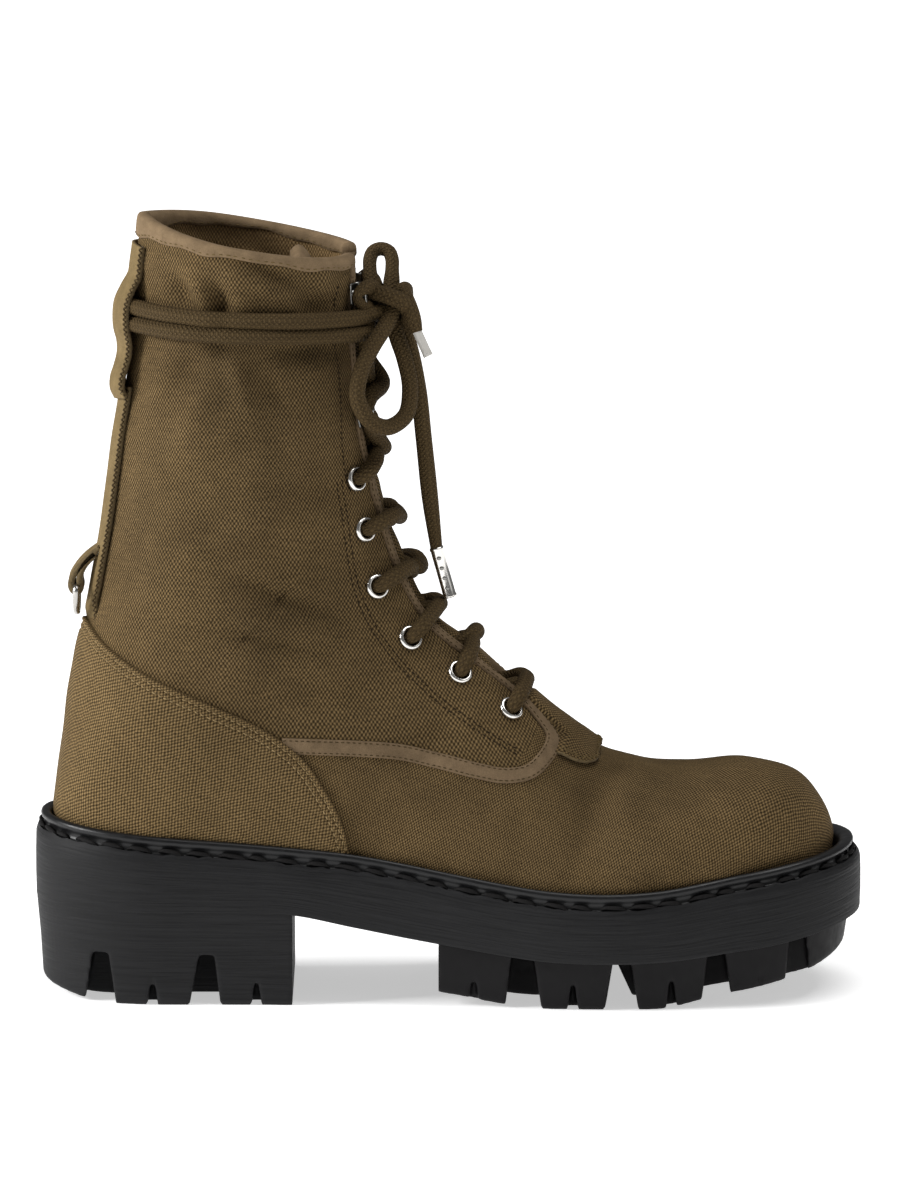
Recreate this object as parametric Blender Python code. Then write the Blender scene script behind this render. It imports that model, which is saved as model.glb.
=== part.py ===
"""Lace-up canvas ankle boot on a lugged rubber sole, a right shoe standing empty on its sole.

Sizes are in millimetres. +X runs to the toe, -Y is the outer (lateral) side, and Z is height over the floor.
"""

import math
from collections import namedtuple

import bmesh
import bpy
import numpy as np
from mathutils import Matrix, Vector

for old in list(bpy.data.objects):
    bpy.data.objects.remove(old, do_unlink=True)

MM = 0.001
LATERAL = -1
MEDIAL = 1
CLEAR = 0.3

# Bottom edge of the upper, seen from above
HEEL_END = -138.0
TOE_END = 135.0
HEEL_CAP = -96.0
TOE_CAP = 100.0
HEEL_ROUND = 2.2
TOE_ROUND = 2.1
TOE_SWING = 4.0
SWING_START = 10.0
Width = namedtuple("Width", "x lateral medial margin")
WIDTHS = (
    Width(-138, 32.0, 30.5, 7.0),
    Width(-96, 33.5, 32.0, 6.4),
    Width(-60, 34.5, 31.5, 5.8),
    Width(-22, 36.0, 31.0, 5.8),
    Width(12, 40.5, 35.0, 6.0),
    Width(38, 45.2, 41.3, 6.0),
    Width(60, 46.6, 44.6, 6.0),
    Width(80, 45.2, 44.5, 6.3),
    Width(100, 40.2, 41.2, 7.2),
    Width(135, 40.2, 41.2, 10.0),
)

# Heights along the sole
Level = namedtuple("Level", "x footbed band tread")
LEVELS = (
    Level(-145, 58.3, 33.0, 4.6),
    Level(-120, 55.6, 33.0, 0.0),
    Level(-100, 53.8, 33.0, 0.0),
    Level(-75, 52.0, 33.0, 0.0),
    Level(-56, 50.4, 32.6, 0.0),
    Level(-33, 48.0, 28.2, 0.0),
    Level(-16, 45.2, 25.0, 5.5),
    Level(0, 42.2, 23.2, 4.2),
    Level(17, 39.2, 22.8, 1.4),
    Level(30, 37.3, 22.8, 0.0),
    Level(52, 35.9, 23.0, 0.0),
    Level(74, 37.0, 23.4, 0.0),
    Level(90, 39.5, 24.4, 3.2),
    Level(110, 43.0, 26.6, 7.0),
    Level(126, 45.6, 28.6, 11.0),
    Level(137, 47.2, 30.2, 15.0),
    Level(145, 48.4, 31.2, 18.5),
)
BAND_DROP = 6.0
HEEL_BREAST = -54.5
OUTSOLE_REAR = -3.5
SOLE_STEP = 14.0
INSOLE_INSET = 4.0
INSOLE_THICK = 3.6

# Notches between the lugs and the small cuts in them, from each side
Notch = namedtuple("Notch", "x low_width top_width top reach")
HEEL_NOTCHES = (
    Notch(-122.0, 12.0, 5.3, 17.0, 24.0),
    Notch(-85.0, 12.0, 5.3, 17.0, 26.0),
    Notch(-103.5, 3.0, 1.2, 8.0, 12.0),
    Notch(-66.5, 3.0, 1.2, 8.0, 12.0),
)
LUG_NOTCHES = (
    Notch(25.8, 11.6, 7.4, 16.6, 30.0),
    Notch(60.7, 12.7, 7.0, 16.8, 90.0),
    Notch(93.6, 12.0, 7.0, 18.6, 30.0),
    Notch(122.0, 10.0, 6.0, 22.0, 24.0),
    Notch(9.0, 2.6, 1.2, 11.0, 12.0),
    Notch(43.0, 2.6, 1.2, 8.5, 12.0),
    Notch(78.0, 2.6, 1.2, 9.0, 12.0),
    Notch(109.0, 2.6, 1.2, 14.5, 12.0),
)

NOTCH_PAST = 5.0
HEEL_HALF = 40.0
TREAD_HALF = 50.0
SEAT_EDGE = 1.0
MIDSOLE_FOOT = 2.0

# Profile of the welt: share of the sole's margin, and rise over the footbed
Bead = namedtuple("Bead", "share rise")
WELT_PROFILE = (
    Bead(0.80, 0.3),
    Bead(0.80, 2.6),
    Bead(0.62, 2.6),
    Bead(0.56, 4.6),
    Bead(0.36, 5.4),
    Bead(0.30, 0.3),
)

# Sections of the upper from toe to collar. Each runs from its start to its ridge. A start is a place along
# the sole as far as the heel seat, and a height up the back seam after it.
Section = namedtuple("Section", "name start ridge_x ridge_z lateral medial fullness")
SECTIONS = (
    Section("toe edge", 100, 135.0, 47.5, 40.2, 41.2, 2.1),
    Section("toe wall", 97, 135.3, 56.0, 41.0, 42.0, 2.1),
    Section("toe round", 92, 131.6, 66.0, 42.7, 43.3, 2.15),
    Section("toe crown", 85, 122.0, 75.8, 44.9, 45.0, 2.2),
    Section("toe top", 76, 106.0, 79.5, 46.5, 45.9, 2.25),
    Section("ball", 60, 84.0, 79.0, 47.8, 45.9, 2.25),
    Section("vamp", 38, 61.0, 82.0, 46.4, 42.5, 2.2),
    Section("throat foot", 12, 39.0, 95.0, 41.7, 36.5, 2.15),
    Section("instep", -22, 14.0, 118.0, 37.5, 33.5, 2.1),
    Section("throat", -62, -5.0, 134.5, 36.5, 34.5, 2.1),
    Section("long heel", -105, -16.5, 157.0, 37.0, 36.0, 2.15),
    Section("heel seat", -138, -24.0, 180.0, 37.5, 36.8, 2.2),
    Section("ankle", 95, -28.5, 197.0, 37.0, 36.5, 2.2),
    Section("low shaft", 134, -30.5, 212.0, 36.0, 35.6, 2.2),
    Section("shaft", 180, -31.5, 228.0, 34.0, 33.7, 2.2),
    Section("lace turn", 228, -31.8, 243.0, 31.4, 31.4, 2.2),
    Section("collar", 273.5, -32.2, 261.0, 32.0, 32.0, 2.2),
)
CORNER = 11
COLLAR = 16
Seam = namedtuple("Seam", "z x")
BACK_SEAM = (
    Seam(57.7, -138.0),
    Seam(75.0, -136.2),
    Seam(95.0, -133.5),
    Seam(110.0, -131.5),
    Seam(120.0, -129.7),
    Seam(132.0, -126.4),
    Seam(145.0, -123.6),
    Seam(162.0, -120.7),
    Seam(190.0, -116.6),
    Seam(212.0, -113.6),
    Seam(240.0, -109.6),
    Seam(257.0, -109.0),
    Seam(273.5, -107.6),
)
SEAT_LIFT = 0.6
WALL = 2.4
THROAT_GAP = 10.5
THROAT_FOOT = 7.35
AROUND = 9
TOE_ROWS = (0, 0.5, 1, 1.5, 2, 2.6, 3.2, 4, 4.7, 5.4, 6, 6.5, 7)
INSTEP_ROWS = (THROAT_FOOT, 7.8, 8.3, 8.8, 9.3, 9.8, 10.2, 10.55, 10.8, 10.95, CORNER)
SHAFT_ROWS = (11.35, 11.75, 12.2, 12.7, 13.2, 13.7, 14.2, 14.8, 15.4, COLLAR)
ROWS = TOE_ROWS + INSTEP_ROWS + SHAFT_ROWS

# Panels laid on the upper. Panel outlines are side-view places x, z.
Place = namedtuple("Place", "x z")
COUNTER_EDGE = (
    Place(-126.6, 131.4),
    Place(-118.0, 124.0),
    Place(-104.0, 116.0),
    Place(-84.0, 107.0),
    Place(-66.0, 98.5),
    Place(-52.0, 88.5),
    Place(-43.0, 76.0),
    Place(-37.0, 64.0),
    Place(-34.5, 55.0),
)
COUNTER_FOOT = 6.4
PANEL_THICK = 1.5
PANEL_LIFT = 0.7
TAPE_ROUTE = (
    Place(33.5, 82.6),
    Place(25.0, 80.6),
    Place(11.0, 81.6),
    Place(-3.0, 84.6),
    Place(-17.0, 88.0),
    Place(-31.0, 90.6),
    Place(-47.0, 91.4),
)
Turned = namedtuple("Turned", "row away")
TAPE_TURN = (Turned(7.62, 13.0), Turned(7.4, 14.4), Turned(7.2, 18.0), Turned(7.12, 24.0))
TAPE_TOP = 15.6
TAPE_WIDTH = 4.6
TAPE_THICK = 1.0
TAPE_LIFT = 0.5
BINDING_THICK = 1.0
BINDING_DEPTH = 4.4
BINDING_BACK = 4.0
BINDING_SPREAD = 0.16
TONGUE_HALF = 23.0
TONGUE_SEWN = 12.0
TONGUE_THICK = 3.2
TONGUE_CROWN = 2.8
TONGUE_TOP = 15.9
TONGUE_LEAN = 15.0
TONGUE_RISE = 4.0
LEAN_START = 14.0
TAB_FRONT = 6.36
TAB_ROUND = 0.4
TAB_HALF = 21.0
TAB_NECK = 6.96
TAB_NECK_HALF = 9.4

# Metal pieces
EYELETS = (
    Place(21.6, 101.9),
    Place(4.0, 115.0),
    Place(-13.5, 127.2),
    Place(-25.1, 145.5),
    Place(-29.3, 165.5),
    Place(-32.1, 183.1),
)
HOOK_HEIGHTS = (204.5, 247.6)
HOOK_AWAY = 13.6
EYELET_STEPS = 8
DRILL_LONG = 16.0
EYELET_HOLE = 3.3
EYELET_PROFILE = ((2.1, -3.0), (2.75, -3.0), (2.75, 0.7), (4.6, 0.7), (4.1, 1.5), (2.1, 1.5))
HOOK_WIDTH = 7.0
HOOK_PLATE = ((4.2, 1.9), (-2.4, 1.9))
HOOK_LIP = ((-2.4, 6.2), (3.4, 7.4), (3.4, 6.6), (-1.6, 5.5))
HOOK_PROFILE = HOOK_PLATE + HOOK_LIP + ((-1.6, 2.7), (4.2, 2.7))

# Back strap, its lace loop, and the ring
Standing = namedtuple("Standing", "z lift")
LOOP_ROUTE = (
    Standing(264.2, 0.6),
    Standing(256.0, 0.6),
    Standing(249.5, 7.1),
    Standing(232.0, 7.1),
    Standing(226.0, 0.6),
    Standing(221.5, 0.6),
    Standing(218.0, 2.6),
    Standing(214.0, 2.6),
    Standing(211.0, 0.6),
)
STAND_OFF = 2.0
LOOP_THICK = 1.5
LOOP_WIDTH = 19.0
STAY_TOP = 209.0
STAY_FOOT = 137.5
STAY_THICK = 1.2
STAY_LIFT = 0.5
STAY_WIDTH = 17.0
RING_X = -130.2
RING_Z = 143.0
RING_WIRE = 1.25
RING_HALF = 9.0
RING_DROP = 9.6
RING_SIDES = 14
TAB_WIDTH = 11.0
TAB_BACK = ((-124.9, 155.4), (-126.6, 154.4), (-130.4, 150.0), (-132.9, 145.4))
TAB_FOLD = ((-133.0, 142.2), (-131.6, 140.3), (-128.8, 140.2), (-127.2, 142.0))
TAB_HOLE = 1.65

# Laces. Routes of the free parts are places in x, y, z.
LACE = 6.2
Bar = namedtuple("Bar", "away climb lift")
BARS = (Bar(-19.0, 0.05, 5.2), Bar(-11.0, 0.22, 5.9), Bar(0.0, 0.42, 5.7), Bar(11.0, 0.62, 5.9))
HOOK_CLIMB = 0.5
HOOK_DRAW = 0.5
HOOK_SINK = 1.1
Turn = namedtuple("Turn", "name back_z front_z")
TURNS = (Turn("lace_turn_upper", 244.6, 239.6), Turn("lace_turn_lower", 237.6, 232.6))
TURN_POINTS = 22
TURN_LIFT = 0.8
FRONT_LIFT = 2.4
FRONT_START = 0.72
KNOT_CENTRE = (-17.1, -1.0, 242.0)
KNOT_SIZE = (5.6, 8.0, 6.6)
LOOP_UP = (
    (-19.2, 2.6, 249.2),
    (-24.0, 5.0, 252.6),
    (-27.0, 10.5, 257.8),
    (-25.2, 16.0, 262.0),
    (-20.6, 14.0, 259.6),
    (-17.4, 8.0, 254.0),
    (-15.2, 3.0, 249.6),
)
LOOP_DOWN = (
    (-17.5, -11.0, 235.4),
    (-22.6, -18.5, 232.0),
    (-27.6, -25.0, 223.5),
    (-29.4, -27.5, 214.4),
    (-26.6, -26.0, 206.0),
    (-20.6, -21.0, 202.0),
    (-15.0, -16.0, 205.6),
    (-12.8, -12.5, 214.0),
    (-12.6, -10.5, 226.0),
    (-13.0, -10.0, 234.0),
)
END_SHORT = (
    (-11.6, 9.8, 240.0),
    (-10.2, 8.4, 245.4),
    (-9.4, 1.0, 250.0),
    (-11.0, -7.0, 248.4),
    (-10.8, -12.0, 242.0),
    (-9.4, -13.5, 236.4),
)
END_LONG = (
    (-15.0, -2.5, 233.2),
    (-12.6, -3.0, 226.0),
    (-10.4, -4.0, 213.0),
    (-8.4, -5.0, 195.0),
    (-6.3, -5.5, 174.0),
    (-4.5, -6.0, 157.5),
)
TIP_SHORT = ((-9.1, -13.7, 235.2), (-7.0, -14.6, 228.8), 2.0)
TIP_LONG = ((-4.2, -6.0, 156.2), (0.6, -6.0, 139.4), 2.1)

COLOURS = {
    "canvas": ((0.115, 0.082, 0.035), 0.9, 0.0),
    "leather tape": ((0.20, 0.148, 0.075), 0.85, 0.0),
    "rubber": ((0.012, 0.012, 0.013), 0.6, 0.0),
    "insole board": ((0.10, 0.075, 0.045), 0.9, 0.0),
    "nickel": ((0.75, 0.74, 0.72), 0.25, 1.0),
    "lace": ((0.055, 0.040, 0.022), 0.8, 0.0),
}


def material(name):
    if name in bpy.data.materials:
        return bpy.data.materials[name]
    made = bpy.data.materials.new(name)
    made.use_nodes = True
    colour, rough, metal = COLOURS[name]
    shader = made.node_tree.nodes["Principled BSDF"]
    shader.inputs["Base Color"].default_value = (*colour, 1.0)
    shader.inputs["Roughness"].default_value = rough
    shader.inputs["Metallic"].default_value = metal
    return made


def smooth(xs, ys):
    """A curve of continuous slope through (xs, ys), as a function."""
    xs = np.asarray(xs, float)
    ys = np.asarray(ys, float)
    slopes = np.gradient(ys, xs)

    def at(x):
        x = np.clip(x, xs[0], xs[-1])
        i = np.clip(np.searchsorted(xs, x, side="right") - 1, 0, len(xs) - 2)
        width = xs[i + 1] - xs[i]
        s = (x - xs[i]) / width
        ends = ys[i] * (1 + 2 * s) * (1 - s) ** 2 + ys[i + 1] * s * s * (3 - 2 * s)
        return ends + width * (slopes[i] * s * (1 - s) ** 2 - slopes[i + 1] * s * s * (1 - s))

    return at


def column(rows, key, value):
    return smooth([getattr(row, key) for row in rows], [getattr(row, value) for row in rows])


margin = column(WIDTHS, "x", "margin")
footbed = column(LEVELS, "x", "footbed")
band_low = column(LEVELS, "x", "band")
tread = column(LEVELS, "x", "tread")
seam_x = column(BACK_SEAM, "z", "x")
bottom_half = {LATERAL: column(WIDTHS, "x", "lateral"), MEDIAL: column(WIDTHS, "x", "medial")}
seat_along = smooth(range(CORNER + 1), [s.start for s in SECTIONS[: CORNER + 1]])
back_heights = [BACK_SEAM[0].z] + [s.start for s in SECTIONS[CORNER + 1 :]]
back_up = smooth(range(CORNER, COLLAR + 1), back_heights)
index = range(len(SECTIONS))
ridge_x = smooth(index, [s.ridge_x for s in SECTIONS])
ridge_z = smooth(index, [s.ridge_z for s in SECTIONS])
widest = {
    LATERAL: smooth(index, [s.lateral for s in SECTIONS]),
    MEDIAL: smooth(index, [s.medial for s in SECTIONS]),
}
fullness = smooth(index, [s.fullness for s in SECTIONS])


def ground(x):
    return np.maximum(tread(x), 0.0)


def centre(x):
    """Sideways swing of the last's middle line."""
    return TOE_SWING * np.clip((x - SWING_START) / (TOE_END - SWING_START), 0, 1) ** 2


def half_width(x, side):
    """Half width of the upper's bottom edge, rounded off at heel and toe."""
    body = bottom_half[side](np.clip(x, HEEL_CAP, TOE_CAP))
    heel = np.clip((HEEL_CAP - x) / (HEEL_CAP - HEEL_END), 0, 1)
    toe = np.clip((x - TOE_CAP) / (TOE_END - TOE_CAP), 0, 1)
    return body * (1 - heel**HEEL_ROUND) ** (1 / HEEL_ROUND) * (1 - toe**TOE_ROUND) ** (1 / TOE_ROUND)


def section(row, side):
    """Start, ridge, width, fullness and first angle of the section at a row."""
    on_sole = row <= CORNER
    x0 = np.where(on_sole, seat_along(row), seam_x(back_up(row)))
    z0 = np.where(on_sole, footbed(x0) + SEAT_LIFT, back_up(row))
    wide = widest[side](row)
    full = fullness(row)
    edge = np.where(on_sole, half_width(x0, side), 0)
    first = np.arcsin(np.clip(edge / wide, 0, 1) ** (full / 2))
    return x0, z0, ridge_x(row), ridge_z(row), wide, full, first


def skin_point(row, share, side):
    """Point of the upper's outer skin, from share 0 at the sole or back seam to share 1 on the ridge."""
    x0, z0, x1, z1, wide, full, first = section(row, side)
    angle = first + (math.pi - first) * share
    low = np.cos(first) ** (2 / full)
    turn = np.cos(angle)
    rise = (low - np.sign(turn) * np.abs(turn) ** (2 / full)) / (low + 1)
    reach = wide * np.clip(np.sin(angle), 0, 1) ** (2 / full)
    y = centre(x0) * (1 - rise) + centre(x1) * rise + side * reach
    return np.array([x0 + (x1 - x0) * rise, y, z0 + (z1 - z0) * rise], float)


def skin_frame(row, share, side):
    """Point, outward normal, and the directions up the rows and towards the ridge."""
    step = 2e-3
    point = skin_point(row, share, side)
    back, fore = max(row - step, 0), min(row + step, COLLAR)
    along = skin_point(fore, share, side) - skin_point(back, share, side)
    low, high = max(share - step, 0), min(share + step, 1)
    over = skin_point(row, high, side) - skin_point(row, low, side)
    normal = np.cross(over, along) * -side
    return point, normal / np.linalg.norm(normal), along / np.linalg.norm(along), over / np.linalg.norm(over)


def lifted(row, share, side, lift):
    point, normal, _, _ = skin_frame(row, share, side)
    return point + normal * lift


def share_at(row, side, y):
    """Share at which a section is y away from its ridge."""
    _, _, _, _, wide, full, first = section(row, side)
    angle = math.pi - np.arcsin(np.clip(y / wide, 0, 1) ** (full / 2))
    return float((angle - first) / (math.pi - first))


def row_of(x, z, side):
    """Row and share of the skin point that a side view shows at x, z."""
    low, high = 0.0, float(COLLAR)
    for _ in range(40):
        row = (low + high) / 2
        x0, z0, x1, z1, _, _, _ = section(row, side)
        if (x1 - x0) * (z - z0) - (z1 - z0) * (x - x0) > 0:
            low = row
        else:
            high = row
    x0, z0, x1, z1, _, full, first = section(row, side)
    rise = np.clip(((x - x0) * (x1 - x0) + (z - z0) * (z1 - z0)) / ((x1 - x0) ** 2 + (z1 - z0) ** 2), 0, 1)
    bottom = np.cos(first) ** (2 / full)
    turn = bottom - rise * (bottom + 1)
    angle = math.acos(np.clip(np.sign(turn) * abs(turn) ** (full / 2), -1, 1))
    return row, float(np.clip((angle - first) / (math.pi - first), 0, 1))


def row_at_height(z, side, away):
    """Row of the shaft whose point, away from the ridge, is at height z."""
    low, high = 9.0, float(COLLAR)
    for _ in range(40):
        row = (low + high) / 2
        if skin_point(row, share_at(row, side, away), side)[2] < z:
            low = row
        else:
            high = row
    return row


def new_object(name, mesh, colour):
    made = bpy.data.objects.new(name, mesh)
    bpy.context.scene.collection.objects.link(made)
    mesh.materials.append(material(colour))
    return made


def finish(name, bm, colour, closed=True):
    bmesh.ops.remove_doubles(bm, verts=bm.verts, dist=1e-6)
    if closed:
        bmesh.ops.recalc_face_normals(bm, faces=bm.faces)
    mesh = bpy.data.meshes.new(name)
    bm.to_mesh(mesh)
    bm.free()
    return new_object(name, mesh, colour)


def faces_from(bm, corners):
    """Adds a face through the corners, leaving out a corner that repeats."""
    kept = list(dict.fromkeys(corners))
    if len(kept) > 2:
        bm.faces.new(kept)


def skin(name, grid, thick, colour, skip=None):
    """A sheet through a grid of points, thickened outwards (or inwards for a negative thickness).

    Rows of the grid run backwards and columns run upwards on the lateral side, so that faces look outwards.
    """
    bm = bmesh.new()
    rows = [[bm.verts.new(Vector(p) * MM) for p in line] for line in grid]
    for r in range(len(rows) - 1):
        for c in range(len(rows[0]) - 1):
            if skip is None or not skip(r, c):
                faces_from(bm, (rows[r][c], rows[r][c + 1], rows[r + 1][c + 1], rows[r + 1][c]))
    for vert in [v for v in bm.verts if not v.link_faces]:
        bm.verts.remove(vert)
    made = finish(name, bm, colour, closed=False)
    solid = made.modifiers.new("wall", "SOLIDIFY")
    solid.thickness = abs(thick) * MM
    solid.offset = 1 if thick > 0 else -1
    solid.use_even_offset = True
    return made


def sweep(name, frames, profiles, colour, closed=False):
    """A solid whose profiles of (a, b) places follow frames of (origin, a direction, b direction)."""
    bm = bmesh.new()
    rings = []
    for (origin, a_way, b_way), profile in zip(frames, profiles):
        places = [np.asarray(origin) + a * np.asarray(a_way) + b * np.asarray(b_way) for a, b in profile]
        rings.append([bm.verts.new(Vector(place) * MM) for place in places])
    count = len(rings[0])
    pairs = list(zip(rings, rings[1:]))
    if closed:
        pairs.append((rings[-1], rings[0]))
    for one, two in pairs:
        for i in range(count):
            faces_from(bm, (one[i], one[(i + 1) % count], two[(i + 1) % count], two[i]))
    if not closed:
        bm.faces.new(rings[0])
        bm.faces.new(rings[-1])
    return finish(name, bm, colour)


def turned(name, origin, axis, profile, steps, colour):
    """A ring of revolution: profile of (radius, height) about an axis."""
    axis = Vector(axis).normalized()
    first = axis.orthogonal().normalized()
    second = axis.cross(first)
    frames = []
    for i in range(steps):
        angle = 2 * math.pi * i / steps
        frames.append((origin, first * math.cos(angle) + second * math.sin(angle), axis))
    return sweep(name, frames, [profile] * steps, colour, closed=True)


def helper(obj):
    obj.hide_render = True
    obj.display_type = "WIRE"
    return obj


def boolean(target, other, operation):
    helper(other)
    made = target.modifiers.new(other.name, "BOOLEAN")
    made.operation = operation
    made.solver = "EXACT"
    made.object = other


def drill(bm, place, radius, steps):
    """Adds a round cutter along the place's own Z axis."""
    radius *= MM
    bmesh.ops.create_cone(
        bm, segments=steps, radius1=radius, radius2=radius, depth=DRILL_LONG * MM, cap_ends=True, matrix=place
    )


# Sole outline
def stations():
    """Places along the sole, close together round the heel and toe."""
    turn = np.linspace(0, math.pi / 2, 7)
    heel = HEEL_CAP - (HEEL_CAP - HEEL_END) * np.cos(turn) ** (2 / HEEL_ROUND)
    toe = TOE_CAP + (TOE_END - TOE_CAP) * np.sin(turn) ** (2 / TOE_ROUND)
    body = [HEEL_CAP, -75.0, HEEL_BREAST, -29.0, OUTSOLE_REAR]
    while body[-1] < TOE_CAP - 1.5 * SOLE_STEP:
        body.append(body[-1] + SOLE_STEP)
    return np.concatenate([heel, body[1:], toe])


STATIONS = stations()


def outline(share, extra=0.0):
    """Lateral and medial points of the bottom edge, grown by a share of the sole's margin and by a length."""
    lateral = np.stack([STATIONS, centre(STATIONS) - half_width(STATIONS, LATERAL)], 1)
    medial = np.stack([STATIONS, centre(STATIONS) + half_width(STATIONS, MEDIAL)], 1)
    loop = np.concatenate([lateral, medial[-2:0:-1]])
    along = np.roll(loop, -1, 0) - np.roll(loop, 1, 0)
    normal = np.stack([along[:, 1], -along[:, 0]], 1)
    normal /= np.linalg.norm(normal, axis=1, keepdims=True)
    grown = loop + normal * (share * margin(loop[:, 0]) + extra)[:, None]
    count = len(STATIONS)
    return grown[:count], np.concatenate([grown[:1], grown[: count - 2 : -1]])


def stack(name, levels, low, high, colour):
    """A solid along the sole from x = low to x = high, with levels of (share, extra, height function)."""
    keep = [i for i, x in enumerate(STATIONS) if low - 1e-6 <= x <= high + 1e-6]
    bm = bmesh.new()
    rings = []
    for share, extra, height in levels:
        verts = []
        for points in outline(share, extra):
            verts.append([bm.verts.new(Vector((x, y, height(x))) * MM) for x, y in points[keep]])
        for end, station in ((0, keep[0]), (-1, keep[-1])):
            if station in (0, len(STATIONS) - 1):
                bm.verts.remove(verts[1][end])
                verts[1][end] = verts[0][end]
        rings.append(verts)
    for (lat0, med0), (lat1, med1) in zip(rings, rings[1:]):
        for i in range(len(keep) - 1):
            faces_from(bm, (lat0[i], lat0[i + 1], lat1[i + 1], lat1[i]))
            faces_from(bm, (med0[i + 1], med0[i], med1[i], med1[i + 1]))
        for end in (0, -1):
            if lat0[end] is not med0[end]:
                faces_from(bm, (lat0[end], lat1[end], med1[end], med0[end]))
    for lat, med in (rings[0], rings[-1]):
        for i in range(len(keep) - 1):
            faces_from(bm, (lat[i], lat[i + 1], med[i + 1], med[i]))
    return finish(name, bm, colour)


def notch_cutter(name, notches, half):
    """Wedges that cut the tread from both sides, or right across where they reach past the middle."""
    bm = bmesh.new()
    for notch in notches:
        low, top = notch.low_width / 2, notch.top_width / 2
        profile = ((-low, -NOTCH_PAST), (low, -NOTCH_PAST), (top, notch.top), (-top, notch.top))
        far = half + NOTCH_PAST
        spans = [(-far, far)]
        if notch.reach < half:
            spans = [(-far, -half + notch.reach), (half - notch.reach, far)]
        for y0, y1 in spans:
            ends = [[bm.verts.new(Vector((notch.x + a, y, b)) * MM) for a, b in profile] for y in (y0, y1)]
            bm.faces.new(ends[0])
            bm.faces.new(ends[1])
            for i in range(4):
                j = (i + 1) % 4
                bm.faces.new((ends[0][i], ends[0][j], ends[1][j], ends[1][i]))
    return finish(name, bm, "rubber")


# Sole
midsole_levels = [
    (0.94, 0, band_low),
    (1.0, 0, lambda x: band_low(x) + MIDSOLE_FOOT),
    (1.0, 0, lambda x: footbed(x) - SEAT_EDGE),
    (0.88, 0, footbed),
]
stack("midsole", midsole_levels, HEEL_END, TOE_END, "rubber")
heel_levels = [
    (1.0, -3.6, ground),
    (1.0, -1.6, lambda x: band_low(x) - 14.0),
    (0.94, 0, lambda x: band_low(x) - CLEAR),
]
heel = stack("heel_block", heel_levels, HEEL_END, HEEL_BREAST, "rubber")
boolean(heel, notch_cutter("heel_notch_cutter", HEEL_NOTCHES, HEEL_HALF), "DIFFERENCE")
outsole_levels = [
    (1.0, -5.4, ground),
    (1.0, -4.2, lambda x: band_low(x) - BAND_DROP - 0.6),
    (1.0, -2.6, lambda x: band_low(x) - BAND_DROP),
    (1.0, -0.6, lambda x: band_low(x) - CLEAR),
]
outsole = stack("outsole", outsole_levels, OUTSOLE_REAR, TOE_END, "rubber")
boolean(outsole, notch_cutter("lug_notch_cutter", LUG_NOTCHES, TREAD_HALF), "DIFFERENCE")

welt_bm = bmesh.new()
welt_rings = []
for bead in WELT_PROFILE:
    lat, med = outline(bead.share)
    ring = np.concatenate([lat, med[-2:0:-1]])
    welt_rings.append([welt_bm.verts.new(Vector((x, y, footbed(x) + bead.rise)) * MM) for x, y in ring])
for a, b in zip(welt_rings, welt_rings[1:] + welt_rings[:1]):
    for i in range(len(a)):
        j = (i + 1) % len(a)
        welt_bm.faces.new((a[i], a[j], b[j], b[i]))
finish("welt", welt_bm, "rubber")
insole_levels = [
    (0, -INSOLE_INSET, lambda x: footbed(x) + CLEAR),
    (0, -INSOLE_INSET, lambda x: footbed(x) + CLEAR + INSOLE_THICK),
]
stack("insole", insole_levels, HEEL_END, TOE_END, "insole board")

# Upper
upper_grid = []
for row in ROWS:
    shares = {}
    for side in (LATERAL, MEDIAL):
        edge = share_at(row, side, THROAT_GAP)
        shares[side] = list(np.linspace(0, edge, AROUND + 1))
    line = [skin_point(row, s, LATERAL) for s in shares[LATERAL]]
    line.append(skin_point(row, 1.0, LATERAL))
    line += [skin_point(row, s, MEDIAL) for s in reversed(shares[MEDIAL])]
    upper_grid.append(line)


def in_throat(r, c):
    return ROWS[r] >= THROAT_FOOT - 1e-6 and c in (AROUND, AROUND + 1)


upper = skin("upper", upper_grid, -WALL, "canvas", in_throat)

hole_bm = bmesh.new()
eyelet_rows = {}
for side, side_name in ((LATERAL, "lateral"), (MEDIAL, "medial")):
    for number, spot in enumerate(EYELETS, 1):
        row, share = row_of(spot.x, spot.z, LATERAL)
        away = float(-skin_point(row, share, LATERAL)[1])
        point, normal, _, _ = skin_frame(row, share_at(row, side, away), side)
        eyelet_rows[number] = row
        turned(f"eyelet_{side_name}_{number}", point, normal, EYELET_PROFILE, EYELET_STEPS, "nickel")
        facing = Vector(normal).to_track_quat("Z", "Y").to_matrix().to_4x4()
        drill(hole_bm, Matrix.Translation(Vector(point) * MM) @ facing, EYELET_HOLE, EYELET_STEPS)
boolean(upper, finish("eyelet_hole_cutter", hole_bm, "canvas"), "DIFFERENCE")

# Panels and tapes
counter_x = smooth(range(len(COUNTER_EDGE)), [p.x for p in COUNTER_EDGE])
counter_z = smooth(range(len(COUNTER_EDGE)), [p.z for p in COUNTER_EDGE])
counter_lines = []
for side in (LATERAL, MEDIAL):
    steps = (len(COUNTER_EDGE) - 1) * np.linspace(0, 1, 14) ** 1.5
    for step in (reversed(steps) if side == LATERAL else steps[1:]):
        top = Place(float(counter_x(step)), float(counter_z(step)))
        foot_x = HEEL_END + 1.0 + (COUNTER_EDGE[-1].x - HEEL_END - 1.0) * (step / steps[-1]) ** 1.25
        foot_z = float(footbed(foot_x)) + COUNTER_FOOT
        line = []
        for part in np.linspace(0, 1, 6):
            x = foot_x + (top.x - foot_x) * part
            z = foot_z + (top.z - foot_z) * part
            if step == 0:
                x = float(seam_x(z))
            row, share = row_of(x, z, side)
            line.append(lifted(row, share, side, PANEL_LIFT))
        counter_lines.append(line)
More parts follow.
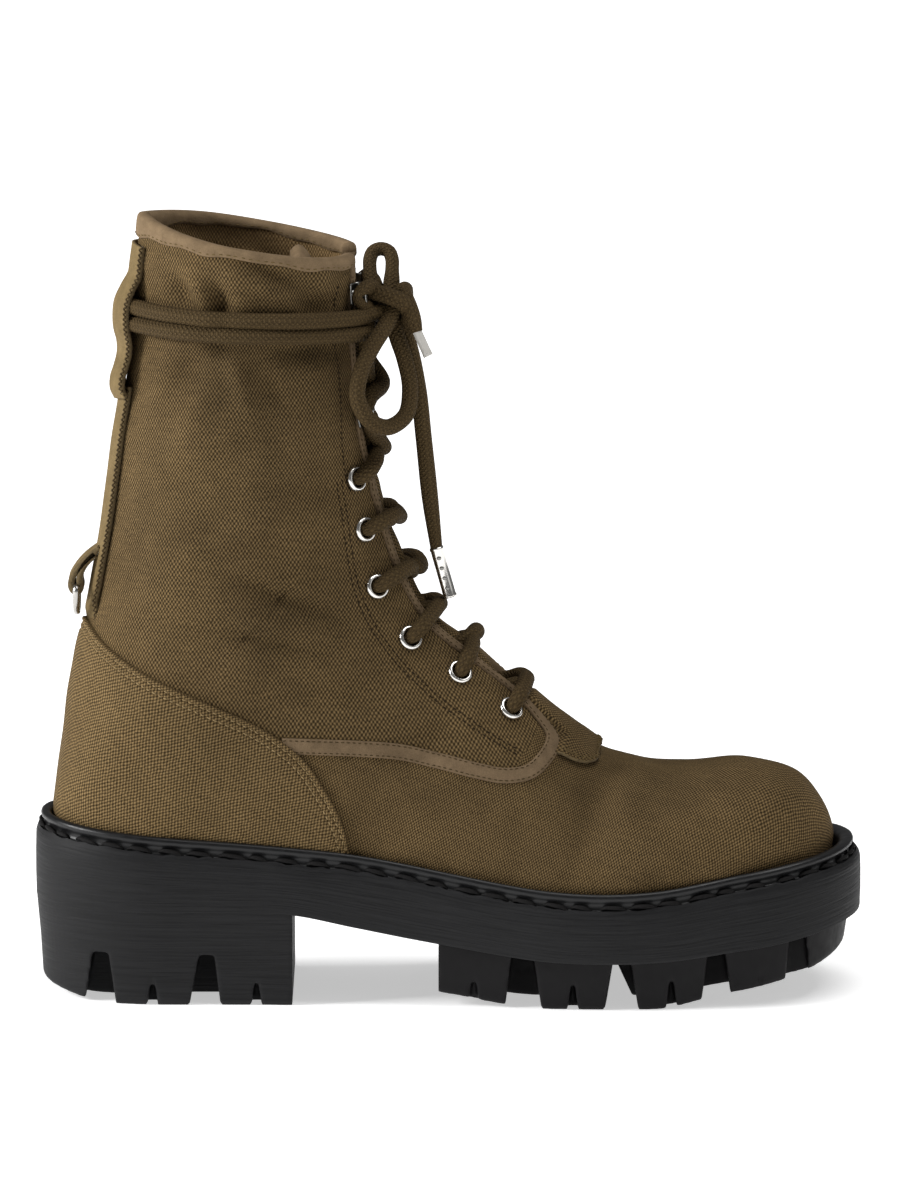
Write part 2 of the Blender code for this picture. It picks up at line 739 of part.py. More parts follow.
skin("heel_counter", counter_lines, PANEL_THICK, "canvas")


def ribbon(name, spots, width, thick, side, colour):
    """A tape of even width along (row, share) spots of one side of the upper."""
    frames = [skin_frame(row, share, side) for row, share in spots]
    lines = []
    for i, (point, normal, _, _) in enumerate(frames):
        along = frames[min(i + 1, len(frames) - 1)][0] - frames[max(i - 1, 0)][0]
        across = np.cross(along, normal)
        across *= width / 2 / np.linalg.norm(across)
        lines.append([point + normal * TAPE_LIFT + across * part for part in (1, 0, -1)])
    return skin(name, lines, -thick, colour)


tape_rows = [row for row in ROWS if TAPE_TURN[0].row < row < TAPE_TOP]
for side, side_name in ((LATERAL, "lateral"), (MEDIAL, "medial")):
    spots = [(row, share_at(row, side, TAPE_TURN[0].away)) for row in [TAPE_TOP] + tape_rows[::-1]]
    spots += [(turn.row, share_at(turn.row, side, turn.away)) for turn in TAPE_TURN]
    spots += [row_of(place.x, place.z, side) for place in TAPE_ROUTE]
    ribbon(f"facing_tape_{side_name}", spots, TAPE_WIDTH, TAPE_THICK, side, "leather tape")

outer = CLEAR + BINDING_THICK
inner = -WALL - 2 * CLEAR
inside = inner - BINDING_THICK
collar_frames = []
sleeves = []
for side in (LATERAL, MEDIAL):
    edge = share_at(COLLAR, side, THROAT_GAP)
    shares = np.linspace(edge, 0, 12)
    for share in (shares if side == LATERAL else shares[-2::-1]):
        point, normal, up, _ = skin_frame(COLLAR, share, side)
        up = up - normal * np.dot(up, normal)
        collar_frames.append((point, normal, up / np.linalg.norm(up)))
        low = -BINDING_DEPTH - BINDING_BACK * math.exp(-((share / BINDING_SPREAD) ** 2))
        outward = ((CLEAR, low), (outer, low), (outer, outer))
        inward = ((inside, outer), (inside, low), (inner, low), (inner, CLEAR), (CLEAR, CLEAR))
        sleeves.append(outward + inward)
sweep("collar_binding", collar_frames, sleeves, "leather tape")

# Tongue
tongue_lines = []
for row in np.linspace(THROAT_FOOT - 0.1, TONGUE_TOP, 16):
    line = []
    bend = max(0.0, (row - LEAN_START) / (TONGUE_TOP - LEAN_START)) ** 2
    lean = np.array([-TONGUE_LEAN * bend, 0.0, TONGUE_RISE * bend])
    for part in np.linspace(-1, 1, 9):
        side = LATERAL if part < 0 else MEDIAL
        away = abs(part) * TONGUE_HALF
        crown = TONGUE_CROWN * max(0.0, 1 - (away / (THROAT_GAP - 2.2)) ** 2)
        if row < THROAT_FOOT + 0.45:
            crown = 0.0
        lift = -WALL - CLEAR - BINDING_THICK - 2 * CLEAR + crown
        if row < THROAT_FOOT and away < TONGUE_SEWN:
            lift = -WALL - 2 * CLEAR
        line.append(lifted(row, share_at(row, side, away), side, lift) + lean)
    tongue_lines.append(line)
skin("tongue", tongue_lines, -TONGUE_THICK, "canvas")

tab_lines = []
for row in (TAB_FRONT, 6.45, 6.6, 6.76, TAB_NECK - 0.02, TAB_NECK, 7.2, THROAT_FOOT + 0.1):
    near = min(1.0, (row - TAB_FRONT) / TAB_ROUND)
    half = TAB_HALF * (0.62 + 0.38 * math.sqrt(1 - (1 - near) ** 2))
    if row >= TAB_NECK:
        half = TAB_NECK_HALF
    line = []
    for part in np.linspace(-1, 1, 9):
        side = LATERAL if part < 0 else MEDIAL
        line.append(lifted(row, share_at(row, side, abs(part) * half), side, PANEL_LIFT + 0.2))
    tab_lines.append(line)
skin("tongue_tab", tab_lines, PANEL_THICK, "canvas")


# Back seam pieces
def back_strip(name, route, width, thick, colour):
    """A strip on the back seam along a route of heights and lifts, straight across where it stands off."""
    lines = []
    for z, lift in route:
        row = float(np.interp(z, back_heights, range(CORNER, COLLAR + 1)))
        for _ in range(8):
            row += (z - float(back_up(row))) / 60
        middle = lifted(row, 0.0, LATERAL, lift)
        line = []
        for part in np.linspace(-1, 1, 5):
            side = LATERAL if part < 0 else MEDIAL
            away = abs(part) * width / 2
            _, _, _, _, wide, full, _ = section(row, side)
            share = math.asin((away / wide) ** (full / 2)) / math.pi
            hugging = lifted(row, share, side, lift)
            flat = middle + np.array([0.0, part * width / 2, 0.0])
            line.append(flat if lift > STAND_OFF else hugging)
        lines.append(line)
    return skin(name, lines, thick, colour)


back_strip("back_loop", LOOP_ROUTE, LOOP_WIDTH, LOOP_THICK, "canvas")
stay_route = [Standing(z, STAY_LIFT) for z in np.linspace(STAY_TOP, STAY_FOOT, 8)]
back_strip("backstay", stay_route, STAY_WIDTH, STAY_THICK, "canvas")

tab_frames = [((0, y, 0), (1, 0, 0), (0, 0, 1)) for y in (-TAB_WIDTH / 2, TAB_WIDTH / 2)]
ring_tab = sweep("ring_tab", tab_frames, [TAB_BACK + TAB_FOLD] * 2, "canvas")
hole_bm = bmesh.new()
ring_place = Matrix.Translation(Vector((RING_X, 0, RING_Z)) * MM) @ Matrix.Rotation(math.pi / 2, 4, "X")
drill(hole_bm, ring_place, TAB_HOLE, 12)
boolean(ring_tab, finish("ring_hole_cutter", hole_bm, "canvas"), "DIFFERENCE")


def cord(name, points, radius, colour, cyclic=False, round_steps=2):
    """A round tube through the points."""
    data = bpy.data.curves.new(name, "CURVE")
    data.dimensions = "3D"
    data.bevel_depth = radius * MM
    data.bevel_resolution = round_steps
    data.use_fill_caps = True
    line = data.splines.new("POLY")
    line.points.add(len(points) - 1)
    for spot, place in zip(line.points, points):
        spot.co = (*(Vector(place) * MM), 1.0)
    line.use_cyclic_u = cyclic
    made = bpy.data.objects.new(name, data)
    bpy.context.scene.collection.objects.link(made)
    data.materials.append(material(colour))
    return made


def along_route(route, count):
    """Evenly counted places on a smooth curve through a route."""
    route = np.asarray(route, float)
    length = np.concatenate([[0], np.cumsum(np.linalg.norm(np.diff(route, axis=0), axis=1))])
    spots = np.linspace(0, length[-1], count)
    return np.stack([smooth(length, route[:, i])(spots) for i in range(3)], 1)


ring_points = []
for i in range(RING_SIDES):
    angle = math.pi * i / (RING_SIDES - 1)
    drop = RING_DROP * max(0.0, math.sin(angle)) ** 0.8
    ring_points.append((RING_X, -RING_HALF * math.cos(angle), RING_Z - drop))
cord("heel_ring", ring_points, RING_WIRE, "nickel", cyclic=True)

# Hooks
for side, side_name in ((LATERAL, "lateral"), (MEDIAL, "medial")):
    for number, height in enumerate(HOOK_HEIGHTS, 1):
        row = row_at_height(height, side, HOOK_AWAY)
        point, normal, _, over = skin_frame(row, share_at(row, side, HOOK_AWAY), side)
        over = over - normal * np.dot(over, normal)
        over /= np.linalg.norm(over)
        up = np.cross(normal, over)
        frames = [(point + up * part * HOOK_WIDTH / 2, -over, normal) for part in (-1, 1)]
        sweep(f"hook_{side_name}_{number}", frames, [HOOK_PROFILE] * 2, "nickel")


# Lace crossings, each a joined pair of bars from one pair of holes towards the next pair
def as_mesh(curve):
    """The tube as a mesh object, which a Boolean needs."""
    graph = bpy.context.evaluated_depsgraph_get()
    mesh = bpy.data.meshes.new_from_object(curve.evaluated_get(graph))
    name = curve.name
    bpy.data.objects.remove(curve, do_unlink=True)
    made = bpy.data.objects.new(name, mesh)
    bpy.context.scene.collection.objects.link(made)
    return made


hole_rows = list(eyelet_rows.values()) + [row_at_height(z, LATERAL, HOOK_AWAY) for z in HOOK_HEIGHTS]
for number in range(len(hole_rows) - 1):
    pair = []
    at_hooks = number >= len(EYELETS)
    reach = HOOK_CLIMB if at_hooks else 1.0
    draw = HOOK_DRAW if at_hooks else 1.0
    sink = HOOK_SINK if at_hooks else 0.0
    for lead in (LATERAL, MEDIAL):
        points = []
        for bar in BARS:
            row = hole_rows[number] + (hole_rows[number + 1] - hole_rows[number]) * bar.climb * reach
            away = bar.away * -lead * draw
            side = LATERAL if away < 0 else MEDIAL
            points.append(lifted(row, share_at(row, side, abs(away)), side, bar.lift - sink))
        tag = "lateral" if lead == LATERAL else "medial"
        bpy.context.view_layer.update()
        pair.append(as_mesh(cord(f"lace_cross_{number + 1}_{tag}", points, LACE / 2, "lace", round_steps=1)))
    pair[0].name = f"lace_cross_{number + 1}"
    boolean(pair[0], pair[1], "UNION")

# Turns round the shaft, knot and bow
for turn in TURNS:
    points = []
    for i in range(TURN_POINTS):
        angle = 2 * math.pi * i / TURN_POINTS
        side = LATERAL if angle <= math.pi else MEDIAL
        share = angle / math.pi if angle <= math.pi else 2 - angle / math.pi
        z = turn.back_z + (turn.front_z - turn.back_z) * share
        low, high = float(CORNER), float(COLLAR)
        for _ in range(40):
            row = (low + high) / 2
            if skin_point(row, share, side)[2] < z:
                low = row
            else:
                high = row
        front = max(0.0, (share - FRONT_START) / (1 - FRONT_START))
        points.append(lifted(row, share, side, LACE / 2 + TURN_LIFT + FRONT_LIFT * front))
    cord(turn.name, points, LACE / 2, "lace", cyclic=True)

knot_bm = bmesh.new()
place = Matrix.Translation(Vector(KNOT_CENTRE) * MM) @ Matrix.Diagonal((*(Vector(KNOT_SIZE) * MM), 1.0))
bmesh.ops.create_icosphere(knot_bm, subdivisions=2, radius=1.0, matrix=place)
finish("lace_knot", knot_bm, "lace")
cord("lace_loop_up", along_route(LOOP_UP, 9), LACE / 2, "lace")
cord("lace_loop_down", along_route(LOOP_DOWN, 11), LACE / 2, "lace")
cord("lace_end_short", along_route(END_SHORT, 7), LACE / 2, "lace")
cord("lace_end_long", along_route(END_LONG, 8), LACE / 2, "lace")
for name, (start, end, radius) in (("tip_short", TIP_SHORT), ("tip_long", TIP_LONG)):
    cord(name, [start, end], radius, "nickel")
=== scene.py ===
# %% [markdown]
# # A canvas lace-up boot
# The boot is a right shoe of heavy olive canvas on a lugged black rubber sole. A plain CAD model gives its
# sizes. This lesson gives each piece the shape and the finish that the eye expects, one piece at a time.
# Shapes are worked out in millimetres, with +X to the toe, -Y to the outer side and Z up from the floor.

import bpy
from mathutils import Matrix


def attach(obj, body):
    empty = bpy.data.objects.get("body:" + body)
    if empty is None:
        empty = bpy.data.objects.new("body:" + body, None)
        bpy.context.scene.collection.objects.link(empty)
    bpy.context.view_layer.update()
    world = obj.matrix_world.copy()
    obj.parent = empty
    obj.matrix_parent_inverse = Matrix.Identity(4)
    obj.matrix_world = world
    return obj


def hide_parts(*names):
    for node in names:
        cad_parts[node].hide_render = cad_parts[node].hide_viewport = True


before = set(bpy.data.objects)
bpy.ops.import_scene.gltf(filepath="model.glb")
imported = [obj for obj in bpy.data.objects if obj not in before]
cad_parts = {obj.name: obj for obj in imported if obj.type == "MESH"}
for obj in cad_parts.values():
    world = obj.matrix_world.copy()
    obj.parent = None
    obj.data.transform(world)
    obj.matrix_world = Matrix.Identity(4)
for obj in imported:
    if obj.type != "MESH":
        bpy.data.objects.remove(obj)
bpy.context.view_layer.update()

# %% [markdown]
# ## Smooth curves through a few numbers
# A shoe maker describes a last with a handful of measures: a width here, a height there. A curve through
# those measures gives every place between them. This one keeps its slope where two stretches meet, so that
# no kink shows in the leather or cloth that is drawn over it.

# %% Modules and a smooth curve
import math
from collections import namedtuple

import bmesh
import bpy
import numpy as np
from mathutils import Vector

MM = 0.001
LATERAL = -1
MEDIAL = 1
SIDES = ((LATERAL, "lateral"), (MEDIAL, "medial"))
rng = np.random.default_rng(7)


def smooth(xs, ys):
    """A curve of continuous slope through (xs, ys), as a function."""
    xs = np.asarray(xs, float)
    ys = np.asarray(ys, float)
    slopes = np.gradient(ys, xs)

    def at(x):
        x = np.clip(x, xs[0], xs[-1])
        i = np.clip(np.searchsorted(xs, x, side="right") - 1, 0, len(xs) - 2)
        width = xs[i + 1] - xs[i]
        s = (x - xs[i]) / width
        ends = ys[i] * (1 + 2 * s) * (1 - s) ** 2 + ys[i + 1] * s * s * (3 - 2 * s)
        return ends + width * (slopes[i] * s * (1 - s) ** 2 - slopes[i + 1] * s * s * (1 - s))

    return at


def table(kind, *values):
    """A table whose rows have named columns."""
    return tuple(kind(*value) for value in values)


def curves(rows, run=None):
    """Smooth curves of a table's columns over a run, or over its first column where no run is given."""
    columns = np.transpose(rows)
    if run is None:
        run, *columns = columns
    return [smooth(run, values) for values in columns]


def eased(rows, run, count):
    """The columns of a table at even steps along a run."""
    fine = np.linspace(0, run[-1], count)
    return [curve(fine) for curve in curves(rows, run)]


def unit(vectors):
    """The same directions with length 1."""
    return vectors / np.linalg.norm(vectors, axis=-1, keepdims=True)


def lengths(path):
    """Distance travelled at each point of a path."""
    return np.concatenate([[0], np.cumsum(np.linalg.norm(np.diff(path, axis=0), axis=1))])


def part_way(distance, run, path):
    """Places at distances along a path, or directions that go with it."""
    return np.stack([np.interp(distance, run, path[:, i]) for i in range(3)], -1)


print("a curve halfway between 0 and 10:", float(smooth([0, 1, 2], [0, 10, 10])(0.5)))

# %% [markdown]
# ## The sole in numbers
# The sole is drawn as a plan and a side view. The plan gives the half widths of the upper's bottom edge and
# the margin by which the sole stands out past it. The side view gives three heights: the footbed, the lower
# edge of the midsole band, and the tread, which lifts off the floor at the waist and the toe.

# %% Plan and side view of the sole
HEEL_END = -138.0
TOE_END = 135.0
HEEL_CAP = -96.0
TOE_CAP = 100.0
HEEL_ROUND = 2.2
TOE_ROUND = 2.1
TOE_SWING = 4.0
SWING_START = 10.0
Width = namedtuple("Width", "x lateral medial margin")
WIDTHS = table(
    Width,
    (-138, 32.0, 30.5, 7.0), (-96, 33.5, 32.0, 6.4), (-60, 34.5, 31.5, 5.8), (-22, 36.0, 31.0, 5.8),
    (12, 40.5, 35.0, 6.0), (38, 45.2, 41.3, 6.0), (60, 46.6, 44.6, 6.0), (80, 45.2, 44.5, 6.3),
    (100, 40.2, 41.2, 7.2), (135, 40.2, 41.2, 10.0),
)
Level = namedtuple("Level", "x footbed band tread")
LEVELS = table(
    Level,
    (-145, 58.3, 33.0, 4.6), (-120, 55.6, 33.0, 0.0), (-100, 53.8, 33.0, 0.0), (-75, 52.0, 33.0, 0.0),
    (-56, 50.4, 32.6, 0.0), (-33, 48.0, 28.2, 0.0), (-16, 45.2, 25.0, 5.5), (0, 42.2, 22.4, 4.2),
    (17, 39.2, 19.8, 1.4), (30, 37.3, 18.2, 0.0), (52, 35.9, 17.2, 0.0), (74, 37.0, 17.7, 0.0),
    (90, 39.5, 19.2, 3.2), (110, 43.0, 21.8, 7.0), (126, 45.6, 24.5, 11.0), (137, 47.2, 26.8, 15.0),
    (145, 48.4, 28.2, 18.5),
)
bottom_lateral, bottom_medial, margin = curves(WIDTHS)
footbed, band_low, tread = curves(LEVELS)


def by_side(side, lateral, medial):
    """The value that belongs to a side."""
    return np.where(np.asarray(side) < 0, lateral, medial)


def ground(x):
    """Height of the tread, never under the floor."""
    return np.maximum(tread(x), 0.0)


def centre(x):
    """Sideways swing of the last's middle line."""
    return TOE_SWING * np.clip((x - SWING_START) / (TOE_END - SWING_START), 0, 1) ** 2


def half_width(x, side):
    """Half width of the upper's bottom edge, rounded off at heel and toe."""
    held = np.clip(x, HEEL_CAP, TOE_CAP)
    body = by_side(side, bottom_lateral(held), bottom_medial(held))
    heel = np.clip((HEEL_CAP - x) / (HEEL_CAP - HEEL_END), 0, 1)
    toe = np.clip((x - TOE_CAP) / (TOE_END - TOE_CAP), 0, 1)
    return body * (1 - heel**HEEL_ROUND) ** (1 / HEEL_ROUND) * (1 - toe**TOE_ROUND) ** (1 / TOE_ROUND)


print("ball of the foot, width in mm:", float(half_width(60, LATERAL) + half_width(60, MEDIAL)))

# %% [markdown]
# ## The upper in numbers
# The upper is a fan of sections. Each one starts on the sole, or on the back seam above the heel, and goes
# up to the ridge of the instep. A section is half of a rounded box on each side of the boot, so a row
# number and a share of the way to the ridge name any place on the cloth.

# %% Sections of the upper
Section = namedtuple("Section", "start ridge_x ridge_z lateral medial fullness")
SECTIONS = table(
    Section,
    (100, 135.0, 47.5, 40.2, 41.2, 2.1), (97, 135.3, 56.0, 41.0, 42.0, 2.1),
    (92, 131.6, 66.0, 42.7, 43.3, 2.15), (85, 122.0, 75.8, 44.9, 45.0, 2.2),
    (76, 106.0, 79.5, 46.5, 45.9, 2.25), (60, 84.0, 79.0, 47.8, 45.9, 2.25),
    (38, 61.0, 82.0, 46.4, 42.5, 2.2), (12, 39.0, 95.0, 41.7, 36.5, 2.15),
    (-22, 14.0, 118.0, 37.5, 33.5, 2.1), (-62, -5.0, 134.5, 36.5, 34.5, 2.1),
    (-105, -16.5, 157.0, 37.0, 36.0, 2.15), (-138, -24.0, 180.0, 37.5, 36.8, 2.2),
    (95, -28.5, 197.0, 37.0, 36.5, 2.2), (134, -30.5, 212.0, 36.0, 35.6, 2.2),
    (180, -31.5, 228.0, 34.0, 33.7, 2.2), (228, -31.8, 243.0, 31.4, 31.4, 2.2),
    (273.5, -32.2, 261.0, 32.0, 32.0, 2.2),
)
CORNER = 11
COLLAR = 16
Seam = namedtuple("Seam", "z x")
BACK_SEAM = table(
    Seam,
    (58.1, -138.0), (75.0, -136.2), (95.0, -133.5), (110.0, -131.5), (120.0, -129.7), (132.0, -126.4),
    (145.0, -123.6), (162.0, -120.7), (190.0, -116.6), (212.0, -113.6), (240.0, -109.6), (257.0, -109.0),
    (273.5, -107.6),
)
SEAT_LIFT = 0.6
WALL = 2.4
THROAT_GAP = 10.5
THROAT_FOOT = 7.35
BACK_POINT = 1.5
POINT_ROWS = 1.6
COLLAR_SAG = 3.2
SAG_START = 14.2
CORNER_BAND = 0.08
SHAFT_START = 9.0
SKIN_STEP = 2e-3
HALVINGS = 40
(seam_x,) = curves(BACK_SEAM)
seat_along = smooth(range(CORNER + 1), [s.start for s in SECTIONS[: CORNER + 1]])
BACK_HEIGHTS = [BACK_SEAM[0].z] + [s.start for s in SECTIONS[CORNER + 1 :]]
back_up = smooth(range(CORNER, COLLAR + 1), BACK_HEIGHTS)
_, ridge_x, ridge_z, wide_lateral, wide_medial, fullness = curves(SECTIONS, range(len(SECTIONS)))
print(len(SECTIONS), "sections, the corner at the heel is row", CORNER, "and the collar is row", COLLAR)

# %% [markdown]
# ## Places on the upper
# Every piece that is sewn to the upper needs the same few answers. Where is the cloth at a row and a share?
# Which way does it face there? And the other way round: which row and share does one see at a place in the
# side view? The second kind is found by halving the range again and again.

# %% Points and directions of the upper
def roundness(row, turn):
    """Fullness of a section. The shaft comes to a soft point at the back seam, where turn is 1."""
    part = np.clip((np.asarray(row, float) - CORNER) / POINT_ROWS, 0, 1)
    return fullness(row) + (BACK_POINT - fullness(row)) * part * part * (3 - 2 * part) * np.clip(turn, 0, 1)


def section(row, side):
    """Start, ridge, width, fullness and first angle of the section at a row."""
    row = np.asarray(row, float)
    on_sole = row <= CORNER
    x0 = np.where(on_sole, seat_along(row), seam_x(back_up(row)))
    z0 = np.where(on_sole, footbed(x0) + SEAT_LIFT, back_up(row))
    wide = by_side(side, wide_lateral(row), wide_medial(row))
    full = fullness(row)
    edge = np.where(on_sole, half_width(x0, side), 0)
    first = np.arcsin(np.clip(edge / wide, 0, 1) ** (full / 2))
    return x0, z0, ridge_x(row), ridge_z(row), wide, full, first


def skin_point(row, share, side):
    """Points of the outer skin, from share 0 at the sole or back seam to share 1 on the ridge."""
    x0, z0, x1, z1, wide, full, first = section(row, side)
    angle = first + (math.pi - first) * share
    low = np.cos(first) ** (2 / full)
    turn = np.cos(angle)
    power = roundness(row, turn)
    rise = (low - np.sign(turn) * np.abs(turn) ** (2 / power)) / (low + 1)
    reach = wide * np.clip(np.sin(angle), 0, 1) ** (2 / power)
    y = centre(x0) * (1 - rise) + centre(x1) * rise + side * reach
    near_top = np.clip((np.asarray(row, float) - SAG_START) / (COLLAR - SAG_START), 0, 1) ** 2
    sag = by_side(side, COLLAR_SAG, 0.0) * near_top * np.sin(math.pi * share)
    return np.stack(np.broadcast_arrays(x0 + (x1 - x0) * rise, y, z0 + (z1 - z0) * rise - sag), -1)


def directions(row, share, side):
    """Outward normals, and the directions up the rows and towards the ridge."""
    fore = skin_point(np.minimum(row + SKIN_STEP, COLLAR), share, side)
    along = fore - skin_point(np.maximum(row - SKIN_STEP, 0), share, side)
    high = skin_point(row, np.minimum(share + SKIN_STEP, 1), side)
    over = high - skin_point(row, np.maximum(share - SKIN_STEP, 0), side)
    return unit(np.cross(over, along) * -side[..., None]), unit(along), unit(over)


def skin_frame(row, share, side):
    """Points, outward normals, and the directions up the rows and towards the ridge."""
    row, share, side = np.broadcast_arrays(np.asarray(row, float), np.asarray(share, float), side)
    before = directions(np.where(np.abs(row - CORNER) < CORNER_BAND, CORNER - CORNER_BAND, row), share, side)
    after = directions(np.where(np.abs(row - CORNER) < CORNER_BAND, CORNER + CORNER_BAND, row), share, side)
    part = np.clip((row - CORNER + CORNER_BAND) / (2 * CORNER_BAND), 0, 1)[..., None]
    normal, along, over = (unit(a * (1 - part) + b * part) for a, b in zip(before, after))
    return skin_point(row, share, side), normal, along, over


def share_at(row, side, away):
    """Share at which a section is that far from its ridge."""
    _, _, _, _, wide, full, first = section(row, side)
    angle = math.pi - np.arcsin(np.clip(away / wide, 0, 1) ** (full / 2))
    return (angle - first) / (math.pi - first)


def row_of(x, z, side):
    """Row and share of the skin point that a side view shows at x, z."""
    low = np.zeros(np.shape(x))
    high = np.full(np.shape(x), float(COLLAR))
    for _ in range(HALVINGS):
        row = (low + high) / 2
        x0, z0, x1, z1, _, _, _ = section(row, side)
        before = (x1 - x0) * (z - z0) - (z1 - z0) * (x - x0) > 0
        low = np.where(before, row, low)
        high = np.where(before, high, row)
    x0, z0, x1, z1, _, full, first = section(row, side)
    rise = ((x - x0) * (x1 - x0) + (z - z0) * (z1 - z0)) / ((x1 - x0) ** 2 + (z1 - z0) ** 2)
    bottom = np.cos(first) ** (2 / full)
    high = bottom - np.clip(rise, 0, 1) * (bottom + 1)
    turn = np.sign(high) * np.abs(high) ** (full / 2)
    for _ in range(HALVINGS // 2):
        turn = np.sign(high) * np.abs(high) ** (roundness(row, turn) / 2)
    angle = np.arccos(np.clip(turn, -1, 1))
    return row, np.clip((angle - first) / (math.pi - first), 0, 1)


def row_at_height(z, side, share_of):
    """Row of the shaft whose point, at the share that share_of(row) gives, is at height z."""
    low = np.full(np.shape(z), SHAFT_START)
    high = np.full(np.shape(z), float(COLLAR))
    for _ in range(HALVINGS):
        row = (low + high) / 2
        below = skin_point(row, share_of(row), side)[..., 2] < z
        low = np.where(below, row, low)
        high = np.where(below, high, row)
    return row


print("height of the back seam at the collar:", float(skin_point(COLLAR, 0.0, LATERAL)[2]))

# %% [markdown]
# ## Creases of the cloth
# Canvas keeps the dents of wear: it gathers above and below the lace that is tied round the shaft, breaks
# at the ankle, and dips beside the seams. Each crease is one row of a table, a soft trough or ridge with a
# place and a direction in the side view. One number makes all of them deeper. Every piece that lies on the
# cloth asks the same table, so all of them follow the same dents.

# %% Folds in the shoe's own sizes
Fold = namedtuple("Fold", "x z angle length width rise")
FOLDS = table(
    Fold,
    (-70, 256.0, -6, 46, 6.0, 0.8), (-93, 249.5, -60, 6, 3.2, -1.9), (-86, 250.0, -64, 8, 3.0, 1.1),
    (-79, 247.5, -69, 6, 3.0, -2.1), (-72.5, 250.5, -58, 8, 3.8, 1.0), (-58, 256.0, -28, 11, 2.6, -1.7),
    (-63, 251.5, -28, 12, 3.2, 0.9), (-46.5, 246.5, -10, 7, 3.4, -2.0), (-44, 254.0, 72, 7, 3.4, 0.8),
    (-79, 231.5, -30, 6, 3.4, -1.7), (-90, 225.0, 20, 9, 5.0, -1.6), (-72, 219.0, -68, 11, 3.4, 1.4),
    (-50, 230.5, 0, 11, 4.4, -1.8), (-99, 219.0, 70, 10, 4.0, 0.8), (-62, 217.0, -70, 10, 4.0, -1.1),
    (-88, 207.0, 60, 10, 5.0, 0.8), (-76, 200.0, 24, 22, 8.0, 0.8), (-86, 188.0, 30, 26, 7.0, -0.9),
    (-50, 181.0, -10, 15, 5.0, -1.2), (-62, 172.0, 14, 22, 6.0, 0.8), (-84, 167.0, 5, 10, 4.0, -1.2),
    (-94, 158.0, 34, 18, 7.0, 0.7), (-55, 150.0, -20, 20, 4.0, 0.8), (-55, 143.0, -22, 21, 2.8, -1.3),
    (-57, 135.0, -18, 19, 3.6, 0.9), (-60, 127.5, -13, 16, 2.6, -1.1), (-48, 120.5, -20, 18, 4.0, 0.7),
    (-40, 110.0, -8, 18, 6.0, -1.0), (-4, 93.0, 14, 12, 5.0, -1.0), (8, 100.0, 40, 12, 5.0, 0.5),
    (50, 68.0, 72, 16, 7.0, -1.3), (63, 71.0, 66, 15, 7.0, 0.8), (84, 72.0, 55, 12, 7.0, -0.3),
    (-5, 66.0, 8, 26, 7.0, -0.6),
)
FOLD_SHIFT = 7.0
SHIFT_SPREAD = 12.0
FOLD_DEPTH = 1.9
Wave = namedtuple("Wave", "x y z phase size")
WAVES = table(
    Wave,
    (0.13, 0.05, 0.09, 0.4, 0.22), (-0.07, 0.11, 0.15, 1.9, 0.18), (0.21, -0.06, -0.12, 3.1, 0.13),
    (0.05, 0.16, 0.27, 5.0, 0.11), (0.33, 0.09, 0.19, 2.2, 0.07),
)


def folds(points):
    """How far the cloth stands out of its plain shape. The inner side has the same folds a little shifted."""
    y = points[..., 1]
    inner = 1 + np.tanh(y / SHIFT_SPREAD)
    x = points[..., 0] + FOLD_SHIFT * inner / 2
    z = points[..., 2] + FOLD_SHIFT * inner / 3
    total = np.zeros(np.shape(x))
    for fold in FOLDS:
        turn = math.radians(fold.angle)
        along = (x - fold.x) * math.cos(turn) + (z - fold.z) * math.sin(turn)
        across = (z - fold.z) * math.cos(turn) - (x - fold.x) * math.sin(turn)
        total += FOLD_DEPTH * fold.rise * np.exp(-((along / fold.length) ** 2) - (across / fold.width) ** 2)
    for wave in WAVES:
        phase = wave.x * points[..., 0] + wave.y * y + wave.z * points[..., 2] + wave.phase
        total += wave.size * np.sin(phase)
    return total


def creased(row, share, side, lift=0.0):
    """Points over the creased cloth, with the outward normals."""
    point, normal, _, _ = skin_frame(row, share, side)
    return point + normal * (lift + folds(point))[..., None], normal


def lifted(row, share, side, lift):
    """Points over the creased cloth."""
    return creased(row, share, side, lift)[0]


def on_ridge(row, away, lift):
    """Points over the cloth at a signed distance from the ridge, negative on the outer side."""
    side = np.where(np.asarray(away) < 0, LATERAL, MEDIAL)
    return lifted(row, share_at(row, side, np.abs(away)), side, lift)


rises = [FOLD_DEPTH * fold.rise for fold in FOLDS]
print(len(FOLDS), "folds, from", round(min(rises), 1), "to", round(max(rises), 1), "mm")

# %% [markdown]
# ## From points to pieces
# Nearly every piece here is a grid of points: rows along it and columns across it. One function turns a
# grid into quads, another gives it a flat map in millimetres so that threads keep their true size, and a
# third makes the object, joins points that coincide, and hides the CAD nodes it stands for.

# %% Grids, maps and pieces
MAP = "cloth"


def wrapped(grid, around, closed):
    """A grid whose first column or row comes again at its end, where it goes around or closes."""
    if around:
        grid = np.concatenate([grid, grid[:, :1]], 1)
    if closed:
        grid = np.concatenate([grid, grid[:1]], 0)
    return grid


def quad_corners(u, v):
    """The four corners of each quad of a grid with rows at u and columns at v."""
    flat = np.stack(np.broadcast_arrays(u[:, None], v[None, :]), -1)
    return np.stack((flat[:-1, :-1], flat[:-1, 1:], flat[1:, 1:], flat[1:, :-1]), 2).reshape(-1, 4, 2)


def grid_faces(rows, columns, around=False, closed=False):
    """Corner numbers of the quads of a grid of points."""
    corner = wrapped(np.arange(rows * columns).reshape(rows, columns), around, closed)
    quads = (corner[:-1, :-1], corner[:-1, 1:], corner[1:, 1:], corner[1:, :-1])
    return np.stack(quads, -1).reshape(-1, 4)


